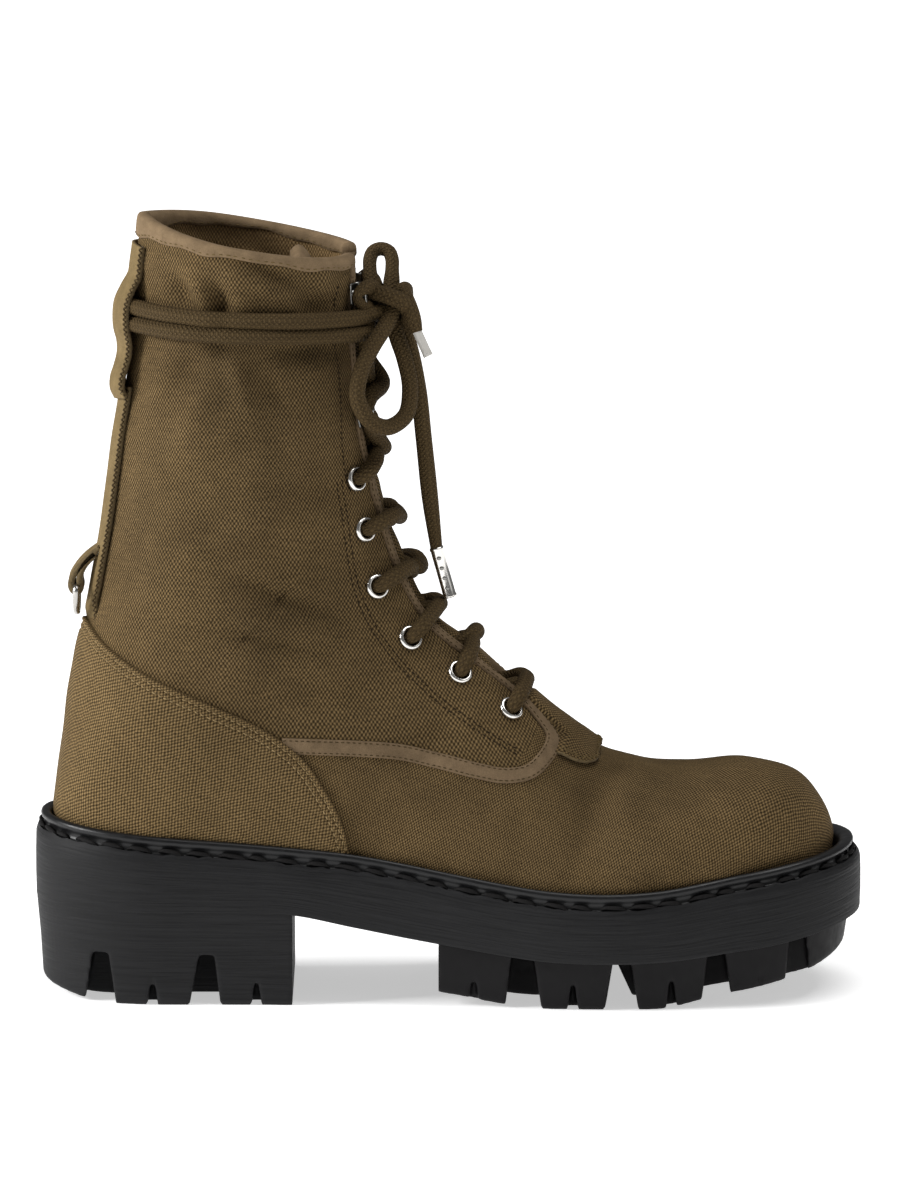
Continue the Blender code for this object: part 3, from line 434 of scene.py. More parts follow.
def grid_map(grid, around=False, closed=False):
    """A map in millimetres for the corners of each quad, from the grid's mean spacing."""
    grid = wrapped(grid, around, closed)
    along = np.linalg.norm(np.diff(grid, axis=0), axis=2).mean(1)
    across = np.linalg.norm(np.diff(grid, axis=1), axis=2).mean(0)
    u = np.concatenate([[0], np.cumsum(along)])
    v = np.concatenate([[0], np.cumsum(across)])
    return quad_corners(u, v)


def outward(mesh, near=0.0):
    """Joins points that are that near, and turns the faces of a closed mesh outwards."""
    bm = bmesh.new()
    bm.from_mesh(mesh)
    if near:
        bmesh.ops.remove_doubles(bm, verts=bm.verts, dist=near)
    bmesh.ops.recalc_face_normals(bm, faces=bm.faces)
    bm.to_mesh(mesh)
    bm.free()


def linked(name, data):
    """A new object in the scene."""
    made = bpy.data.objects.new(name, data)
    bpy.context.scene.collection.objects.link(made)
    return made


def piece(name, points, faces, finish, nodes=(), flat=None, closed=False, body="boot", sharp=None):
    """A mesh object that rides a body, from points in millimetres. Points that coincide are joined."""
    points = np.asarray(points, float).reshape(-1, 3)
    _, first, same = np.unique(np.round(points, 4), axis=0, return_index=True, return_inverse=True)
    same = same.reshape(-1)
    corners = []
    places = []
    for number, face in enumerate(faces):
        kept = {}
        for spot, corner in enumerate(face):
            kept.setdefault(int(same[corner]), spot)
        if len(kept) < 3:
            continue
        corners.append(list(kept))
        if flat is not None:
            places.extend(flat[number][spot] if spot < 4 else (0, 0) for spot in kept.values())
    mesh = bpy.data.meshes.new(name)
    mesh.from_pydata((points[first] * MM).tolist(), [], corners)
    if flat is not None:
        layer = mesh.uv_layers.new(name=MAP)
        layer.data.foreach_set("uv", np.asarray(places, np.float32).reshape(-1))
    if closed:
        outward(mesh)
    mesh.shade_smooth()
    if sharp is not None:
        mesh.set_sharp_from_angle(angle=math.radians(sharp))
    for one in finish if isinstance(finish, tuple) else (finish,):
        mesh.materials.append(one)
    made = linked(name, mesh)
    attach(made, body)
    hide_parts(*nodes)
    return made


def sheet(name, grid, finish, nodes=(), thick=0.0, keep=None, inner=0, rim=0):
    """A sheet through a grid of points. A positive thickness is added outside it, a negative one inside."""
    rows, columns = grid.shape[:2]
    faces = grid_faces(rows, columns)
    flat = grid_map(grid)
    if keep is not None:
        faces = faces[keep]
        flat = flat[keep]
    made = piece(name, grid, faces, finish, nodes, flat)
    if thick:
        solid = made.modifiers.new("thickness", "SOLIDIFY")
        solid.thickness = abs(thick) * MM
        solid.offset = 1 if thick > 0 else -1
        solid.material_offset = inner
        solid.material_offset_rim = rim
    return made


def ring_sweep(name, grid, finish, nodes=(), closed=False, body="boot", sharp=None, flat=None):
    """A solid whose rows are rings of points. Its ends are capped, or joined where it closes on itself."""
    rows, columns = grid.shape[:2]
    faces = [list(face) for face in grid_faces(rows, columns, True, closed)]
    if flat is None:
        flat = grid_map(grid, True, closed)
    flat = list(flat)
    if not closed:
        faces.append(list(range(columns))[::-1])
        faces.append(list(range((rows - 1) * columns, rows * columns)))
        flat += [np.zeros((columns, 2))] * 2
    return piece(name, grid, faces, finish, nodes, flat, True, body, sharp)


def along_frames(origin, a_way, b_way, profile):
    """A grid of points whose rows are a profile of (a, b) places, carried along frames."""
    profile = np.asarray(profile, float)
    if profile.ndim == 2:
        profile = np.broadcast_to(profile, (len(origin), *profile.shape))
    return origin[:, None] + profile[..., :1] * a_way[:, None] + profile[..., 1:] * b_way[:, None]


print("a grid of 3 by 4 points has", len(grid_faces(3, 4)), "quads")

# %% [markdown]
# ## Shaders as sums
# A finish is a small recipe: a weave is a product of two waves, a stain is a little noise. Written as sums
# the recipe stays readable, so one class wraps a node's output socket and gives it plus, minus and times.
# Each sum adds the Math node that works it out.

# %% Wires
class Wire:
    """An output socket that can be added, multiplied and raised to a power like a number."""

    def __init__(self, finish, socket):
        self.finish = finish
        self.socket = socket

    def sum(self, operation, *values):
        return self.finish.node("ShaderNodeMath", {"operation": operation}, dict(enumerate(values)))

    def __add__(self, other):
        return self.sum("ADD", self, other)

    def __radd__(self, other):
        return self.sum("ADD", other, self)

    def __sub__(self, other):
        return self.sum("SUBTRACT", self, other)

    def __rsub__(self, other):
        return self.sum("SUBTRACT", other, self)

    def __mul__(self, other):
        return self.sum("MULTIPLY", self, other)

    def __truediv__(self, other):
        return self.sum("DIVIDE", self, other)

    def __rtruediv__(self, other):
        return self.sum("DIVIDE", other, self)

    def __pow__(self, other):
        return self.sum("POWER", self, other)

    def sin(self):
        return self.sum("SINE", self)

    def cos(self):
        return self.sum("COSINE", self)

    def held(self):
        return self.finish.node("ShaderNodeClamp", sockets={0: self})


print("a wire knows", [name for name in vars(Wire) if not name.startswith("_")])

# %% [markdown]
# ## A finish
# A finish is a material with one Principled shader. One method makes every node and returns its output as a
# wire. The other methods are short names for what comes again and again: a mix of two colours, cloudy
# noise, the piece's own map, the place on the boot, and small relief.

# %% Finishes
class Finish:
    """A material with one Principled shader, fed by wires."""

    def __init__(self, name, **constants):
        self.material = bpy.data.materials.new(name)
        self.material.use_nodes = True
        self.tree = self.material.node_tree
        self.shader = self.tree.nodes["Principled BSDF"]
        for key, value in constants.items():
            self.set(key.replace("_", " "), value)

    def join(self, socket, value):
        if isinstance(value, Wire):
            self.tree.links.new(value.socket, socket)
        else:
            socket.default_value = value

    def node(self, kind, settings=None, sockets=None, output=0):
        made = self.tree.nodes.new(kind)
        for key, value in (settings or {}).items():
            setattr(made, key, value)
        for key, value in (sockets or {}).items():
            self.join(made.inputs[key], value)
        return Wire(self, made.outputs[output])

    def set(self, socket, value):
        self.join(self.shader.inputs[socket], value)

    def mix(self, factor, first, second):
        settings = {"data_type": "RGBA"}
        sockets = {0: factor, 6: first, 7: second}
        return self.node("ShaderNodeMix", settings, sockets, 2)

    def tinted(self, colour, factor):
        """A colour made lighter or darker."""
        grey = self.node("ShaderNodeCombineColor", sockets={0: factor, 1: factor, 2: factor})
        settings = {"data_type": "RGBA", "blend_type": "MULTIPLY"}
        return self.node("ShaderNodeMix", settings, {0: 1.0, 6: colour, 7: grey}, 2)

    def vector(self, x, y, z=0.0):
        return self.node("ShaderNodeCombineXYZ", sockets={0: x, 1: y, 2: z})

    def parts(self, vector):
        split = self.node("ShaderNodeSeparateXYZ", sockets={0: vector}).socket.node
        return [Wire(self, socket) for socket in split.outputs]

    def map(self):
        """The two directions of the piece's own map, in millimetres."""
        return self.parts(self.node("ShaderNodeUVMap", {"uv_map": MAP}))[:2]

    def place(self):
        """The place on the boot, in millimetres."""
        settings = {"operation": "SCALE"}
        spot = self.node("ShaderNodeTexCoord", output=3)
        return self.node("ShaderNodeVectorMath", settings, {0: spot, "Scale": 1 / MM})

    def noise(self, place, size, detail=2.0):
        """Cloudy noise from 0 to 1, whose clouds have about that size."""
        return self.node("ShaderNodeTexNoise", sockets={"Vector": place, "Scale": 1 / size, "Detail": detail})

    def bump(self, height, depth):
        """Small relief, in millimetres from the lowest to the highest."""
        sockets = {"Height": height, "Distance": depth * MM, "Strength": 1.0}
        self.set("Normal", self.node("ShaderNodeBump", sockets=sockets))


def rgb(red, green, blue):
    return (red, green, blue, 1.0)


print("a finish offers", [name for name in vars(Finish) if not name.startswith("_")])

# %% [markdown]
# ## Canvas
# The cloth is a heavy plain weave. Thick weft threads show as rows of small pale dots, set half a step
# apart from row to row, with dark gaps between them. Two cosines multiplied give that chequer of dots. The
# threads wander a little, and dye never takes evenly, so slow noise bends the rows and clouds the colour.
# Where the boot creases, at the ankle, the ball of the foot and under the tied lace, soft darker patches
# are painted on the cloth: partly dust, partly painted shade in the creases and under the lace.

# %% Canvas finish
DOT_STEP = 1.33
ROW_STEP = 0.96
DOT_SHARP = 1.8
WEAVE_RELIEF = 0.17
Wander = namedtuple("Wander", "size swing")
ALONG_WANDER = (Wander(9.0, 1.1), Wander(2.6, 0.7))
ACROSS_WANDER = (Wander(7.0, 0.9), Wander(2.2, 0.5))
# Each row is a soft darker patch at a place on the boot: partly dust, partly painted shade in a crease or
# under the lace.
ShadeAndDust = namedtuple("ShadeAndDust", "x z wide tall depth")
SHADE_AND_DUST = table(
    ShadeAndDust,
    (-48, 128, 34, 34, 0.18), (-10, 98, 24, 12, 0.08), (18, 62, 40, 16, 0.14), (51, 66, 8, 14, 0.14),
    (-52, 230, 24, 7, 0.16), (-68, 222, 60, 42, 0.16),
)


def canvas(name, dark, light, cloud=0.8):
    """Woven dots from a dark gap to a light thread, under dye clouds of that strength and patches of painted
    shade and dust.
    """
    cloth = Finish(name, Roughness=0.9, Specular_IOR_Level=0.1)
    u, v = cloth.map()
    flat = cloth.vector(u, v)
    for wander in ALONG_WANDER:
        u = u + (cloth.noise(flat, wander.size) - 0.5) * wander.swing
    swapped = cloth.vector(v, u)
    for wander in ACROSS_WANDER:
        v = v + (cloth.noise(swapped, wander.size) - 0.5) * wander.swing
    dots = (u * (2 * math.pi / DOT_STEP)).cos() * (v * (math.pi / ROW_STEP)).cos() * 0.5 + 0.5
    slub = cloth.noise(cloth.vector(u * 0.11, v * 0.75), 1.0, 1.0)
    fuzz = cloth.noise(flat, 0.8, 3.0)
    tone = (dots**DOT_SHARP * (fuzz * 1.3 + 0.5) + slub * 0.25 + fuzz * 0.4 - 0.3).held()
    spots = cloth.place()
    clouds = cloth.noise(spots, 30.0, 3.0) * 0.65 + cloth.noise(spots, 10.0, 2.0) * 0.35
    shade = (clouds - 0.5) * cloud + 1.0
    x, _, z = cloth.parts(spots)
    # Painted shade and dust: the colour is darkened in soft patches at the listed places.
    for shade_and_dust in SHADE_AND_DUST:
        across = (x - shade_and_dust.x) / shade_and_dust.wide
        above = (z - shade_and_dust.z) / shade_and_dust.tall
        shade = shade - shade_and_dust.depth / (across * across + above * above + 1.0)
    cloth.set("Base Color", cloth.tinted(cloth.mix(tone, dark, light), shade))
    cloth.bump(dots + slub * 0.35 + fuzz * 0.3, WEAVE_RELIEF)
    return cloth.material


CANVAS = canvas("canvas", rgb(0.024, 0.0155, 0.006), rgb(0.226, 0.149, 0.066))
# The counter's canvas is a lighter copy of the same cloth, with weaker clouds: painted light, because the
# lamps light the counter less than the shaft.
COUNTER_CANVAS_PAINTED_LIGHT = canvas("counter_canvas", rgb(0.028, 0.018, 0.007), rgb(0.268, 0.179, 0.08), 0.5)
# The lining is a much lighter copy of the canvas: painted light, so that the inside of the boot does not sink
# into shade.
LINING_PAINTED_LIGHT = canvas("lining", rgb(0.11, 0.068, 0.03), rgb(0.38, 0.25, 0.115), 0.3)
cut_edge = Finish("raw_edge", Roughness=0.95)
fibres = cut_edge.noise(cut_edge.place(), 0.9, 3.0)
cut_edge.set("Base Color", cut_edge.mix(fibres, rgb(0.03, 0.02, 0.008), rgb(0.2, 0.14, 0.06)))
RAW_EDGE = cut_edge.material
print("rows of dots every", ROW_STEP, "mm")

# %% [markdown]
# ## Suede tape, thread and lace
# The edges are bound with a thin beige suede tape. Suede has no grain, only a nap that is brushed here and
# there, so two sizes of noise are enough. The close cloth of the back strap takes the same recipe. Thread
# comes in five colours, from black on the welt to pale on the heel. The lace is a round braid: two sets of
# yarn wind round it in opposite directions, and where they cross they lift.

# %% Suede, thread and braid finishes
def suede(name, dark, light):
    """Nap that is brushed darker here and lighter there."""
    nap = Finish(name, Roughness=0.85, Specular_IOR_Level=0.12)
    spots = nap.place()
    fine = nap.noise(spots, 0.5, 3.0)
    brushed = nap.noise(spots, 4.5, 3.0)
    tone = (brushed * 0.9 + fine * 0.55 - 0.25).held()
    nap.set("Base Color", nap.mix(tone, dark, light))
    nap.bump(fine + brushed * 0.8, 0.16)
    return nap.material


def thread(name, colour):
    """Dull yarn of one colour."""
    yarn = Finish(name, Roughness=0.75, Specular_IOR_Level=0.1)
    spots = yarn.place()
    yarn.set("Base Color", yarn.tinted(colour, yarn.noise(spots, 0.7) * 1.2 + 0.4))
    return yarn.material


BRAID_STEP = 1.7
BRAID_YARNS = 8
BRAID_AROUND = 19.0


def braid(name, dark, light):
    """A braid on a map of millimetres along and turns around."""
    cord = Finish(name, Roughness=0.8, Specular_IOR_Level=0.12)
    along, turns = cord.map()
    wind = turns * (2 * math.pi * BRAID_YARNS)
    run = along * (2 * math.pi / BRAID_STEP)
    over = (run * 0.5 + wind * 0.5).sin()
    under = (run * 0.5 - wind * 0.5).sin()
    weave = over * under
    yarns = (run + wind * 2.0).cos() * (weave * 0.5 + 0.5) + (run - wind * 2.0).cos() * (0.5 - weave * 0.5)
    flat = cord.vector(along, turns * BRAID_AROUND)
    fuzz = cord.noise(flat, 0.8, 3.0)
    tone = (weave * weave * 0.5 + yarns * 0.14 + fuzz * 0.6 - 0.05).held()
    cord.set("Base Color", cord.mix(tone, dark, light))
    cord.bump(weave * weave + yarns * 0.25 + fuzz * 0.3, 0.4)
    return cord.material


TWILL = suede("strap_twill", rgb(0.1, 0.069, 0.029), rgb(0.24, 0.17, 0.078))
SUEDE = suede("suede_tape", rgb(0.083, 0.056, 0.031), rgb(0.22, 0.152, 0.088))
COLLAR_SUEDE = suede("collar_suede", rgb(0.1, 0.068, 0.037), rgb(0.27, 0.187, 0.107))
THREAD_DARK = thread("thread_dark", rgb(0.022, 0.014, 0.006))
THREAD_TAN = thread("thread_tan", rgb(0.12, 0.082, 0.035))
THREAD_PALE = thread("thread_pale", rgb(0.26, 0.185, 0.09))
OVERCAST = thread("thread_overcast", rgb(0.05, 0.033, 0.014))
THREAD_BLACK = thread("thread_black", rgb(0.009, 0.0085, 0.0085))
BRAID = braid("lace_braid", rgb(0.03, 0.019, 0.0075), rgb(0.117, 0.077, 0.032))
print("a braid of", BRAID_YARNS, "yarns each way")

# %% [markdown]
# ## Rubber, metal and board
# The band of the sole was ground on a wheel, which leaves fine grey streaks along it. The lugs came from a
# mould and stay smooth and nearly black. The metal is bright nickel with faint handling marks. A streak is
# noise that is stretched: its place counts much less along the sole than up it.

# %% Rubber, metal and board finishes
Streak = namedtuple("Streak", "along up")
STREAKS = (Streak(0.045, 1.1), Streak(0.02, 0.42))


def ground_rubber(name, mapped):
    """Fine and deep streaks along the piece's map, or level ones where it has no map."""
    rubber = Finish(name, Specular_IOR_Level=0.22)
    if mapped:
        along, up = rubber.map()
        spots = rubber.vector(along, up)
        lines, deep = (rubber.vector(along * s.along, up * s.up) for s in STREAKS)
    else:
        spots = rubber.place()
        x, y, z = rubber.parts(spots)
        lines, deep = (rubber.vector(x * s.along, y * s.along, z * s.up) for s in STREAKS)
    fine = rubber.noise(lines, 1.0, 4.0)
    broad = rubber.noise(deep, 1.0, 2.0)
    blots = rubber.noise(spots, 16.0, 2.0)
    tone = ((fine - 0.34) * 2.0 * (broad * 0.7 + blots * 0.8 - 0.1)).held()
    rubber.set("Base Color", rubber.mix(tone, rgb(0.0045, 0.0045, 0.005), rgb(0.021, 0.021, 0.022)))
    rubber.set("Roughness", 0.55 + tone * 0.3)
    rubber.bump(fine + broad * 0.8, 0.3)
    return rubber.material


def plain(name, colour, rough, metal=0.0, marks=0.12, gloss=0.5):
    """A smooth finish with faint marks of handling."""
    made = Finish(name, Metallic=metal, Specular_IOR_Level=gloss)
    spots = made.place()
    clouds = made.noise(spots, 3.5, 4.0)
    made.set("Base Color", made.tinted(colour, (clouds - 0.5) * marks * 2 + 1.0))
    made.set("Roughness", (clouds - 0.5) * marks + rough)
    return made.material


RUBBER_BAND = ground_rubber("rubber_band", True)
RUBBER_HEEL = ground_rubber("rubber_heel", False)
RUBBER_LUG = plain("rubber_lug", rgb(0.0055, 0.005, 0.0055), 0.55, 0.0, 0.35, 0.16)
RUBBER_BEAD = plain("rubber_bead", rgb(0.005, 0.005, 0.0055), 0.4, 0.0, 0.3, 0.35)
NICKEL = plain("nickel", rgb(0.77, 0.75, 0.71), 0.22, 1.0)
DULL_NICKEL = plain("dull_nickel", rgb(0.27, 0.265, 0.25), 0.3, 1.0)
RING_NICKEL = plain("ring_nickel", rgb(0.46, 0.445, 0.42), 0.26, 1.0)
CLEAR_TIP = plain("clear_tip", rgb(0.55, 0.53, 0.49), 0.18, 0.0)
BOARD = plain("insole_board", rgb(0.12, 0.085, 0.05), 0.85, 0.0, 0.3)
print(len(bpy.data.materials), "materials")

# %% [markdown]
# ## The upper
# The upper is cut from flat canvas: a vamp over the toes and a quarter on each side. Here it is one fine
# grid over the sections, with the throat left open and a hole under each eyelet. Its wall goes inwards, so
# the outside keeps its size. The inside takes the lining, a copy of the canvas painted much lighter to
# stand in for the light that reaches into the boot.

# %% Upper, eyelet places and holes
Place = namedtuple("Place", "x z")
EYELETS = table(
    Place,
    (21.6, 101.9), (4.0, 115.0), (-13.5, 127.2), (-25.1, 145.5), (-29.3, 165.5), (-32.1, 183.1),
)
EYELET_CUT = 3.4
ROW_COUNT = 236
SIDE_COUNT = 66
STRIP_COUNT = 14
WALK_POINTS = 3201
WALK_SHARES = (0.35, 0.8)

fine_rows = np.linspace(0, COLLAR, WALK_POINTS)
walk = sum(lengths(skin_point(fine_rows, share, LATERAL)) for share in WALK_SHARES) / 2
upper_rows = np.interp(np.linspace(0, walk[-1], ROW_COUNT), walk, fine_rows)
throat_row = int(np.argmin(np.abs(upper_rows - THROAT_FOOT)))
upper_rows[throat_row] = THROAT_FOOT

eyelet_row, eyelet_share = row_of(*np.transpose(EYELETS), LATERAL)
eyelet_away = -skin_point(eyelet_row, eyelet_share, LATERAL)[:, 1]

up = upper_rows[:, None]
part = np.linspace(0, 1, SIDE_COUNT + 1)
strip = np.linspace(-THROAT_GAP, THROAT_GAP, STRIP_COUNT + 1)[1:-1]
outer_share = share_at(up, LATERAL, THROAT_GAP) * part
inner_share = share_at(up, MEDIAL, THROAT_GAP) * part[::-1]
upper_grid = np.concatenate(
    [
        lifted(up, outer_share, LATERAL, 0.0),
        on_ridge(up, strip[None, :], 0.0),
        lifted(up, inner_share, MEDIAL, 0.0),
    ],
    1,
)
quads = grid_faces(*upper_grid.shape[:2])
middle = upper_grid.reshape(-1, 3)[quads].mean(1)
quad_row = np.repeat(np.arange(len(upper_rows) - 1), upper_grid.shape[1] - 1)
quad_column = np.tile(np.arange(upper_grid.shape[1] - 1), len(upper_rows) - 1)
in_throat = (quad_row >= throat_row) & (quad_column >= SIDE_COUNT) & (quad_column < SIDE_COUNT + STRIP_COUNT)
keep = ~in_throat
for side, _ in SIDES:
    for spot in lifted(eyelet_row, share_at(eyelet_row, side, eyelet_away), side, 0.0):
        keep &= np.linalg.norm(middle - spot, axis=1) > EYELET_CUT
upper = sheet("upper_canvas", upper_grid, (CANVAS, LINING_PAINTED_LIGHT), ("upper",), -WALL, keep, inner=1)
print("upper:", len(upper.data.polygons), "quads, eyelets", np.round(eyelet_away, 1), "mm from the ridge")

# %% [markdown]
# ## Laying the cloth flat
# Threads run straight in a flat piece of canvas and bend only where the piece is pulled over the last. To
# get the same on the model, each cut piece is unrolled by Blender's own unwrap and scaled until its area in
# the map is its area in millimetres. The vamp's weave is then made a little finer. Last, each map is
# turned: a quarter's rows lie level in the side view, and the vamp's run along the boot seen from above.

# %% Unrolling the cut pieces
TAPE_ROUTE = table(
    Place,
    (36.4, 92.0), (33.6, 86.0), (28.0, 81.9), (21.0, 80.9), (10.0, 82.8), (-3.0, 86.2), (-17.0, 89.4),
    (-31.0, 90.6), (-47.0, 91.4), (-58.0, 91.8),
)
VAMP_END = 7.25
VAMP_FINER = 1.2
WIDTH_OF = {"uv": 2, "co": 3, "center": 3}


def read(items, what, kind=np.int32):
    """One property of all items of a mesh, in a row."""
    values = np.empty(len(items) * WIDTH_OF.get(what, 1), kind)
    items.foreach_get(what, values)
    return values


def lay_flat(made, group, seen):
    """Unwraps each group of faces. seen gives the two directions that its map follows and how fine it is."""
    mesh = made.data
    loop_edge = read(mesh.loops, "edge_index")
    loop_vert = read(mesh.loops, "vertex_index")
    sizes = read(mesh.polygons, "loop_total")
    loop_group = np.repeat(group, sizes)
    lowest = np.full(len(mesh.edges), len(seen))
    highest = np.full(len(mesh.edges), -1)
    np.minimum.at(lowest, loop_edge, loop_group)
    np.maximum.at(highest, loop_edge, loop_group)
    mesh.edges.foreach_set("use_seam", lowest != highest)
    bpy.context.view_layer.objects.active = made
    made.select_set(True)
    bpy.ops.object.mode_set(mode="EDIT")
    bpy.ops.mesh.select_all(action="SELECT")
    bpy.ops.uv.unwrap(method="ANGLE_BASED", margin=0.0)
    bpy.ops.object.mode_set(mode="OBJECT")
    made.select_set(False)
    mesh = made.data
    layer = mesh.uv_layers[MAP]
    flat = read(layer.data, "uv", np.float32).reshape(-1, 2).astype(float)
    places = read(mesh.vertices, "co", np.float32).reshape(-1, 3)[loop_vert].astype(float) / MM
    starts = np.concatenate([[0], np.cumsum(sizes)[:-1]])
    first, second, third = starts, starts + 1, starts + 2
    true = np.linalg.norm(np.cross(places[second] - places[first], places[third] - places[first]), axis=1)
    one, two = flat[second] - flat[first], flat[third] - flat[first]
    signed = one[:, 0] * two[:, 1] - one[:, 1] * two[:, 0]
    for number, (a_way, b_way, finer) in enumerate(seen):
        mine = loop_group == number
        faces = group == number
        if signed[faces].sum() < 0:
            flat[mine, 0] *= -1
        flat[mine] *= finer * math.sqrt(true[faces].sum() / np.abs(signed[faces]).sum())
        flat[mine] -= flat[mine].mean(0)
        spots = places[mine] - places[mine].mean(0)
        wanted = spots @ np.asarray(a_way) + 1j * (spots @ np.asarray(b_way))
        have = flat[mine, 0] + 1j * flat[mine, 1]
        turned = have * np.exp(1j * np.angle((wanted * have.conj()).sum()))
        flat[mine] = np.stack([turned.real, turned.imag], 1)
    layer.data.foreach_set("uv", flat.astype(np.float32).reshape(-1))


tape_x, tape_z = np.transpose(TAPE_ROUTE[::-1])
centres = read(upper.data.polygons, "center", np.float32).reshape(-1, 3) / MM
face_row = row_of(centres[:, 0], centres[:, 2], LATERAL)[0]
vamp = (face_row < VAMP_END) | (centres[:, 2] < np.interp(centres[:, 0], tape_x, tape_z))
panel = np.where(vamp, 0, np.where(centres[:, 1] < 0, 1, 2))
PANELS = (
    ((1, 0, 0), (0, 1, 0), VAMP_FINER),
    ((1, 0, 0), (0, 0, 1), 1.0),
    ((-1, 0, 0), (0, 0, 1), 1.0),
)
lay_flat(upper, panel, PANELS)
print("faces in vamp, outer and inner quarter:", np.bincount(panel))

# %% [markdown]
# ## Stitches
# A row of stitches is what makes a seam look sewn. Each stitch is a short thread that comes up, runs along
# the cloth and goes down again, so it is modelled as a small bar that is thick in the middle and sinks at
# both ends. No two are quite alike: a little chance moves each one.

# %% Rows of stitches
STITCH_RINGS = 6
STITCH_SIDES = 6
STITCH_FACES = (STITCH_RINGS - 1) * STITCH_SIDES + 2
STITCH_BLUNT = 0.45
STITCH_RISE = 0.22
STITCH_SINK = 0.7
STITCH_FLAT = 0.85
Stitch = namedtuple("Stitch", "pitch long thick")


def stitches(name, path, normal, stitch, finish, jitter=0.1, lift=0.0, slant=0.0):
    """Thread stitches along a path over a surface."""
    pitch, long, thick = stitch
    path = np.asarray(path, float)
    run = lengths(path)
    count = int(run[-1] // pitch)
    start = (np.arange(count) + 0.5) * run[-1] / count - long / 2
    start = start + rng.normal(0, jitter * pitch / 3, count)
    length = long * (1 + rng.normal(0, jitter, count))
    t = np.linspace(0, 1, STITCH_RINGS)
    where = np.clip(start[:, None] + t * length[:, None], 0, run[-1])
    spine = part_way(where, run, path)
    up = unit(part_way(where, run, normal))
    ahead = unit(np.gradient(spine, axis=1) + 1e-9)
    across = unit(np.cross(ahead, up))
    tilt = slant + rng.normal(0, jitter * thick, count)
    spine = spine + across * (tilt[:, None] * (2 * t - 1))[..., None]
    swell = np.sin(math.pi * np.clip(t, 0.05, 0.95)) ** STITCH_BLUNT * thick / 2
    sunk = lift + thick * STITCH_RISE - thick * STITCH_SINK * np.abs(2 * t - 1) ** 5
    spine = spine + up * sunk[None, :, None]
    angle = 2 * math.pi * np.arange(STITCH_SIDES) / STITCH_SIDES
    ring = across[:, :, None] * np.cos(angle)[:, None] + up[:, :, None] * np.sin(angle)[:, None] * STITCH_FLAT
    points = spine[:, :, None] + ring * swell[None, :, None, None]
    faces = []
    one = grid_faces(STITCH_RINGS, STITCH_SIDES, True)
    for number in range(count):
        base = number * STITCH_RINGS * STITCH_SIDES
        faces += (one + base).tolist()
        faces.append([base + i for i in range(STITCH_SIDES)][::-1])
        faces.append([base + (STITCH_RINGS - 1) * STITCH_SIDES + i for i in range(STITCH_SIDES)])
    return piece(name, points, faces, finish, closed=True)


print("a stitch has", STITCH_FACES, "faces")

# %% [markdown]
# ## Tubes
# Laces, wires and long threads are tubes along a path. Each ring of points starts from the ring before and
# turns as little as it can, so the tube doesn't twist. Where a path closes on itself, the small turn that
# is left over is shared out along it. A zigzag thread is a tube whose path swings from side to side.

# %% Tubes and zigzag threads
TUBE_START = (0.31, 0.17, 0.94)
ZIGZAG_SIDES = 6
Zigzag = namedtuple("Zigzag", "pitch wide thick")


def tube(path, radius, sides, closed=False):
    """Rings of points round a path, each turned as little as possible from the one before."""
    path = np.asarray(path, float)
    if closed:
        ahead = unit(np.roll(path, -1, 0) - np.roll(path, 1, 0))
    else:
        ahead = unit(np.gradient(path, axis=0))
    first = np.cross(ahead[0], TUBE_START)
    turns = []
    for way in list(ahead) + ([ahead[0]] if closed else []):
        first = first - way * (first @ way)
        first = first / np.linalg.norm(first)
        turns.append(first)
    turns = np.array(turns)
    twist = np.zeros(len(path))
    if closed:
        other = np.cross(ahead[0], turns[0])
        miss = math.atan2(turns[-1] @ other, turns[-1] @ turns[0])
        twist = -miss * np.arange(len(path)) / len(path)
        turns = turns[:-1]
    other = np.cross(ahead, turns)
    angle = np.linspace(0, 2 * math.pi, sides, endpoint=False)[None, :] + twist[:, None]
    ring = turns[:, None] * np.cos(angle)[..., None] + other[:, None] * np.sin(angle)[..., None]
    return path[:, None] + ring * np.broadcast_to(radius, len(path))[:, None, None]


def zigzag(name, path, across, normal, sizes, finish):
    """One thread that swings from side to side along an edge."""
    pitch, wide, thick = sizes
    run = lengths(path)
    spots = np.linspace(0, run[-1], int(run[-1] / pitch) * 4 + 1)
    swing = 4 * np.abs((spots / (2 * pitch)) % 1 - 0.5) - 1
    line = part_way(spots, run, path) + part_way(spots, run, across) * (swing * wide / 2)[:, None]
    line = line + part_way(spots, run, normal) * thick * 0.25
    return ring_sweep(name, tube(line, thick / 2, ZIGZAG_SIDES), finish)


ring_test = tube([(0, 0, 0), (0, 0, 1), (0, 0, 2)], 1.0, ZIGZAG_SIDES)
print("a tube through 3 places has", ring_test.shape[0] * ring_test.shape[1], "points")

# %% [markdown]
# ## Seams of the facings
# The eyelets sit in a strip of doubled canvas. Two rows of dark stitches, close together, hold its outer
# edge, and a single row goes on up the shaft beside the hooks.

# %% Eyestay and shaft seams
EYESTAY = table(
    Place,
    (-36.5, 184.0), (-35.5, 172.0), (-33.5, 158.0), (-30.5, 143.5), (-24.0, 130.0), (-15.0, 118.5),
    (-2.0, 106.5), (12.0, 96.5), (26.0, 88.5),
)
EYESTAY_POINTS = 160
EYESTAY_SHIFTS = ((0.0, 0.0), (1.7, 0.85))
SHAFT_POINTS = 80
SHAFT_SEAM = np.linspace(11.55, 15.55, SHAFT_POINTS)
SHAFT_AWAY = np.linspace(21.5, 19.5, SHAFT_POINTS)
SEAM_STITCH = Stitch(2.1, 1.6, 0.52)


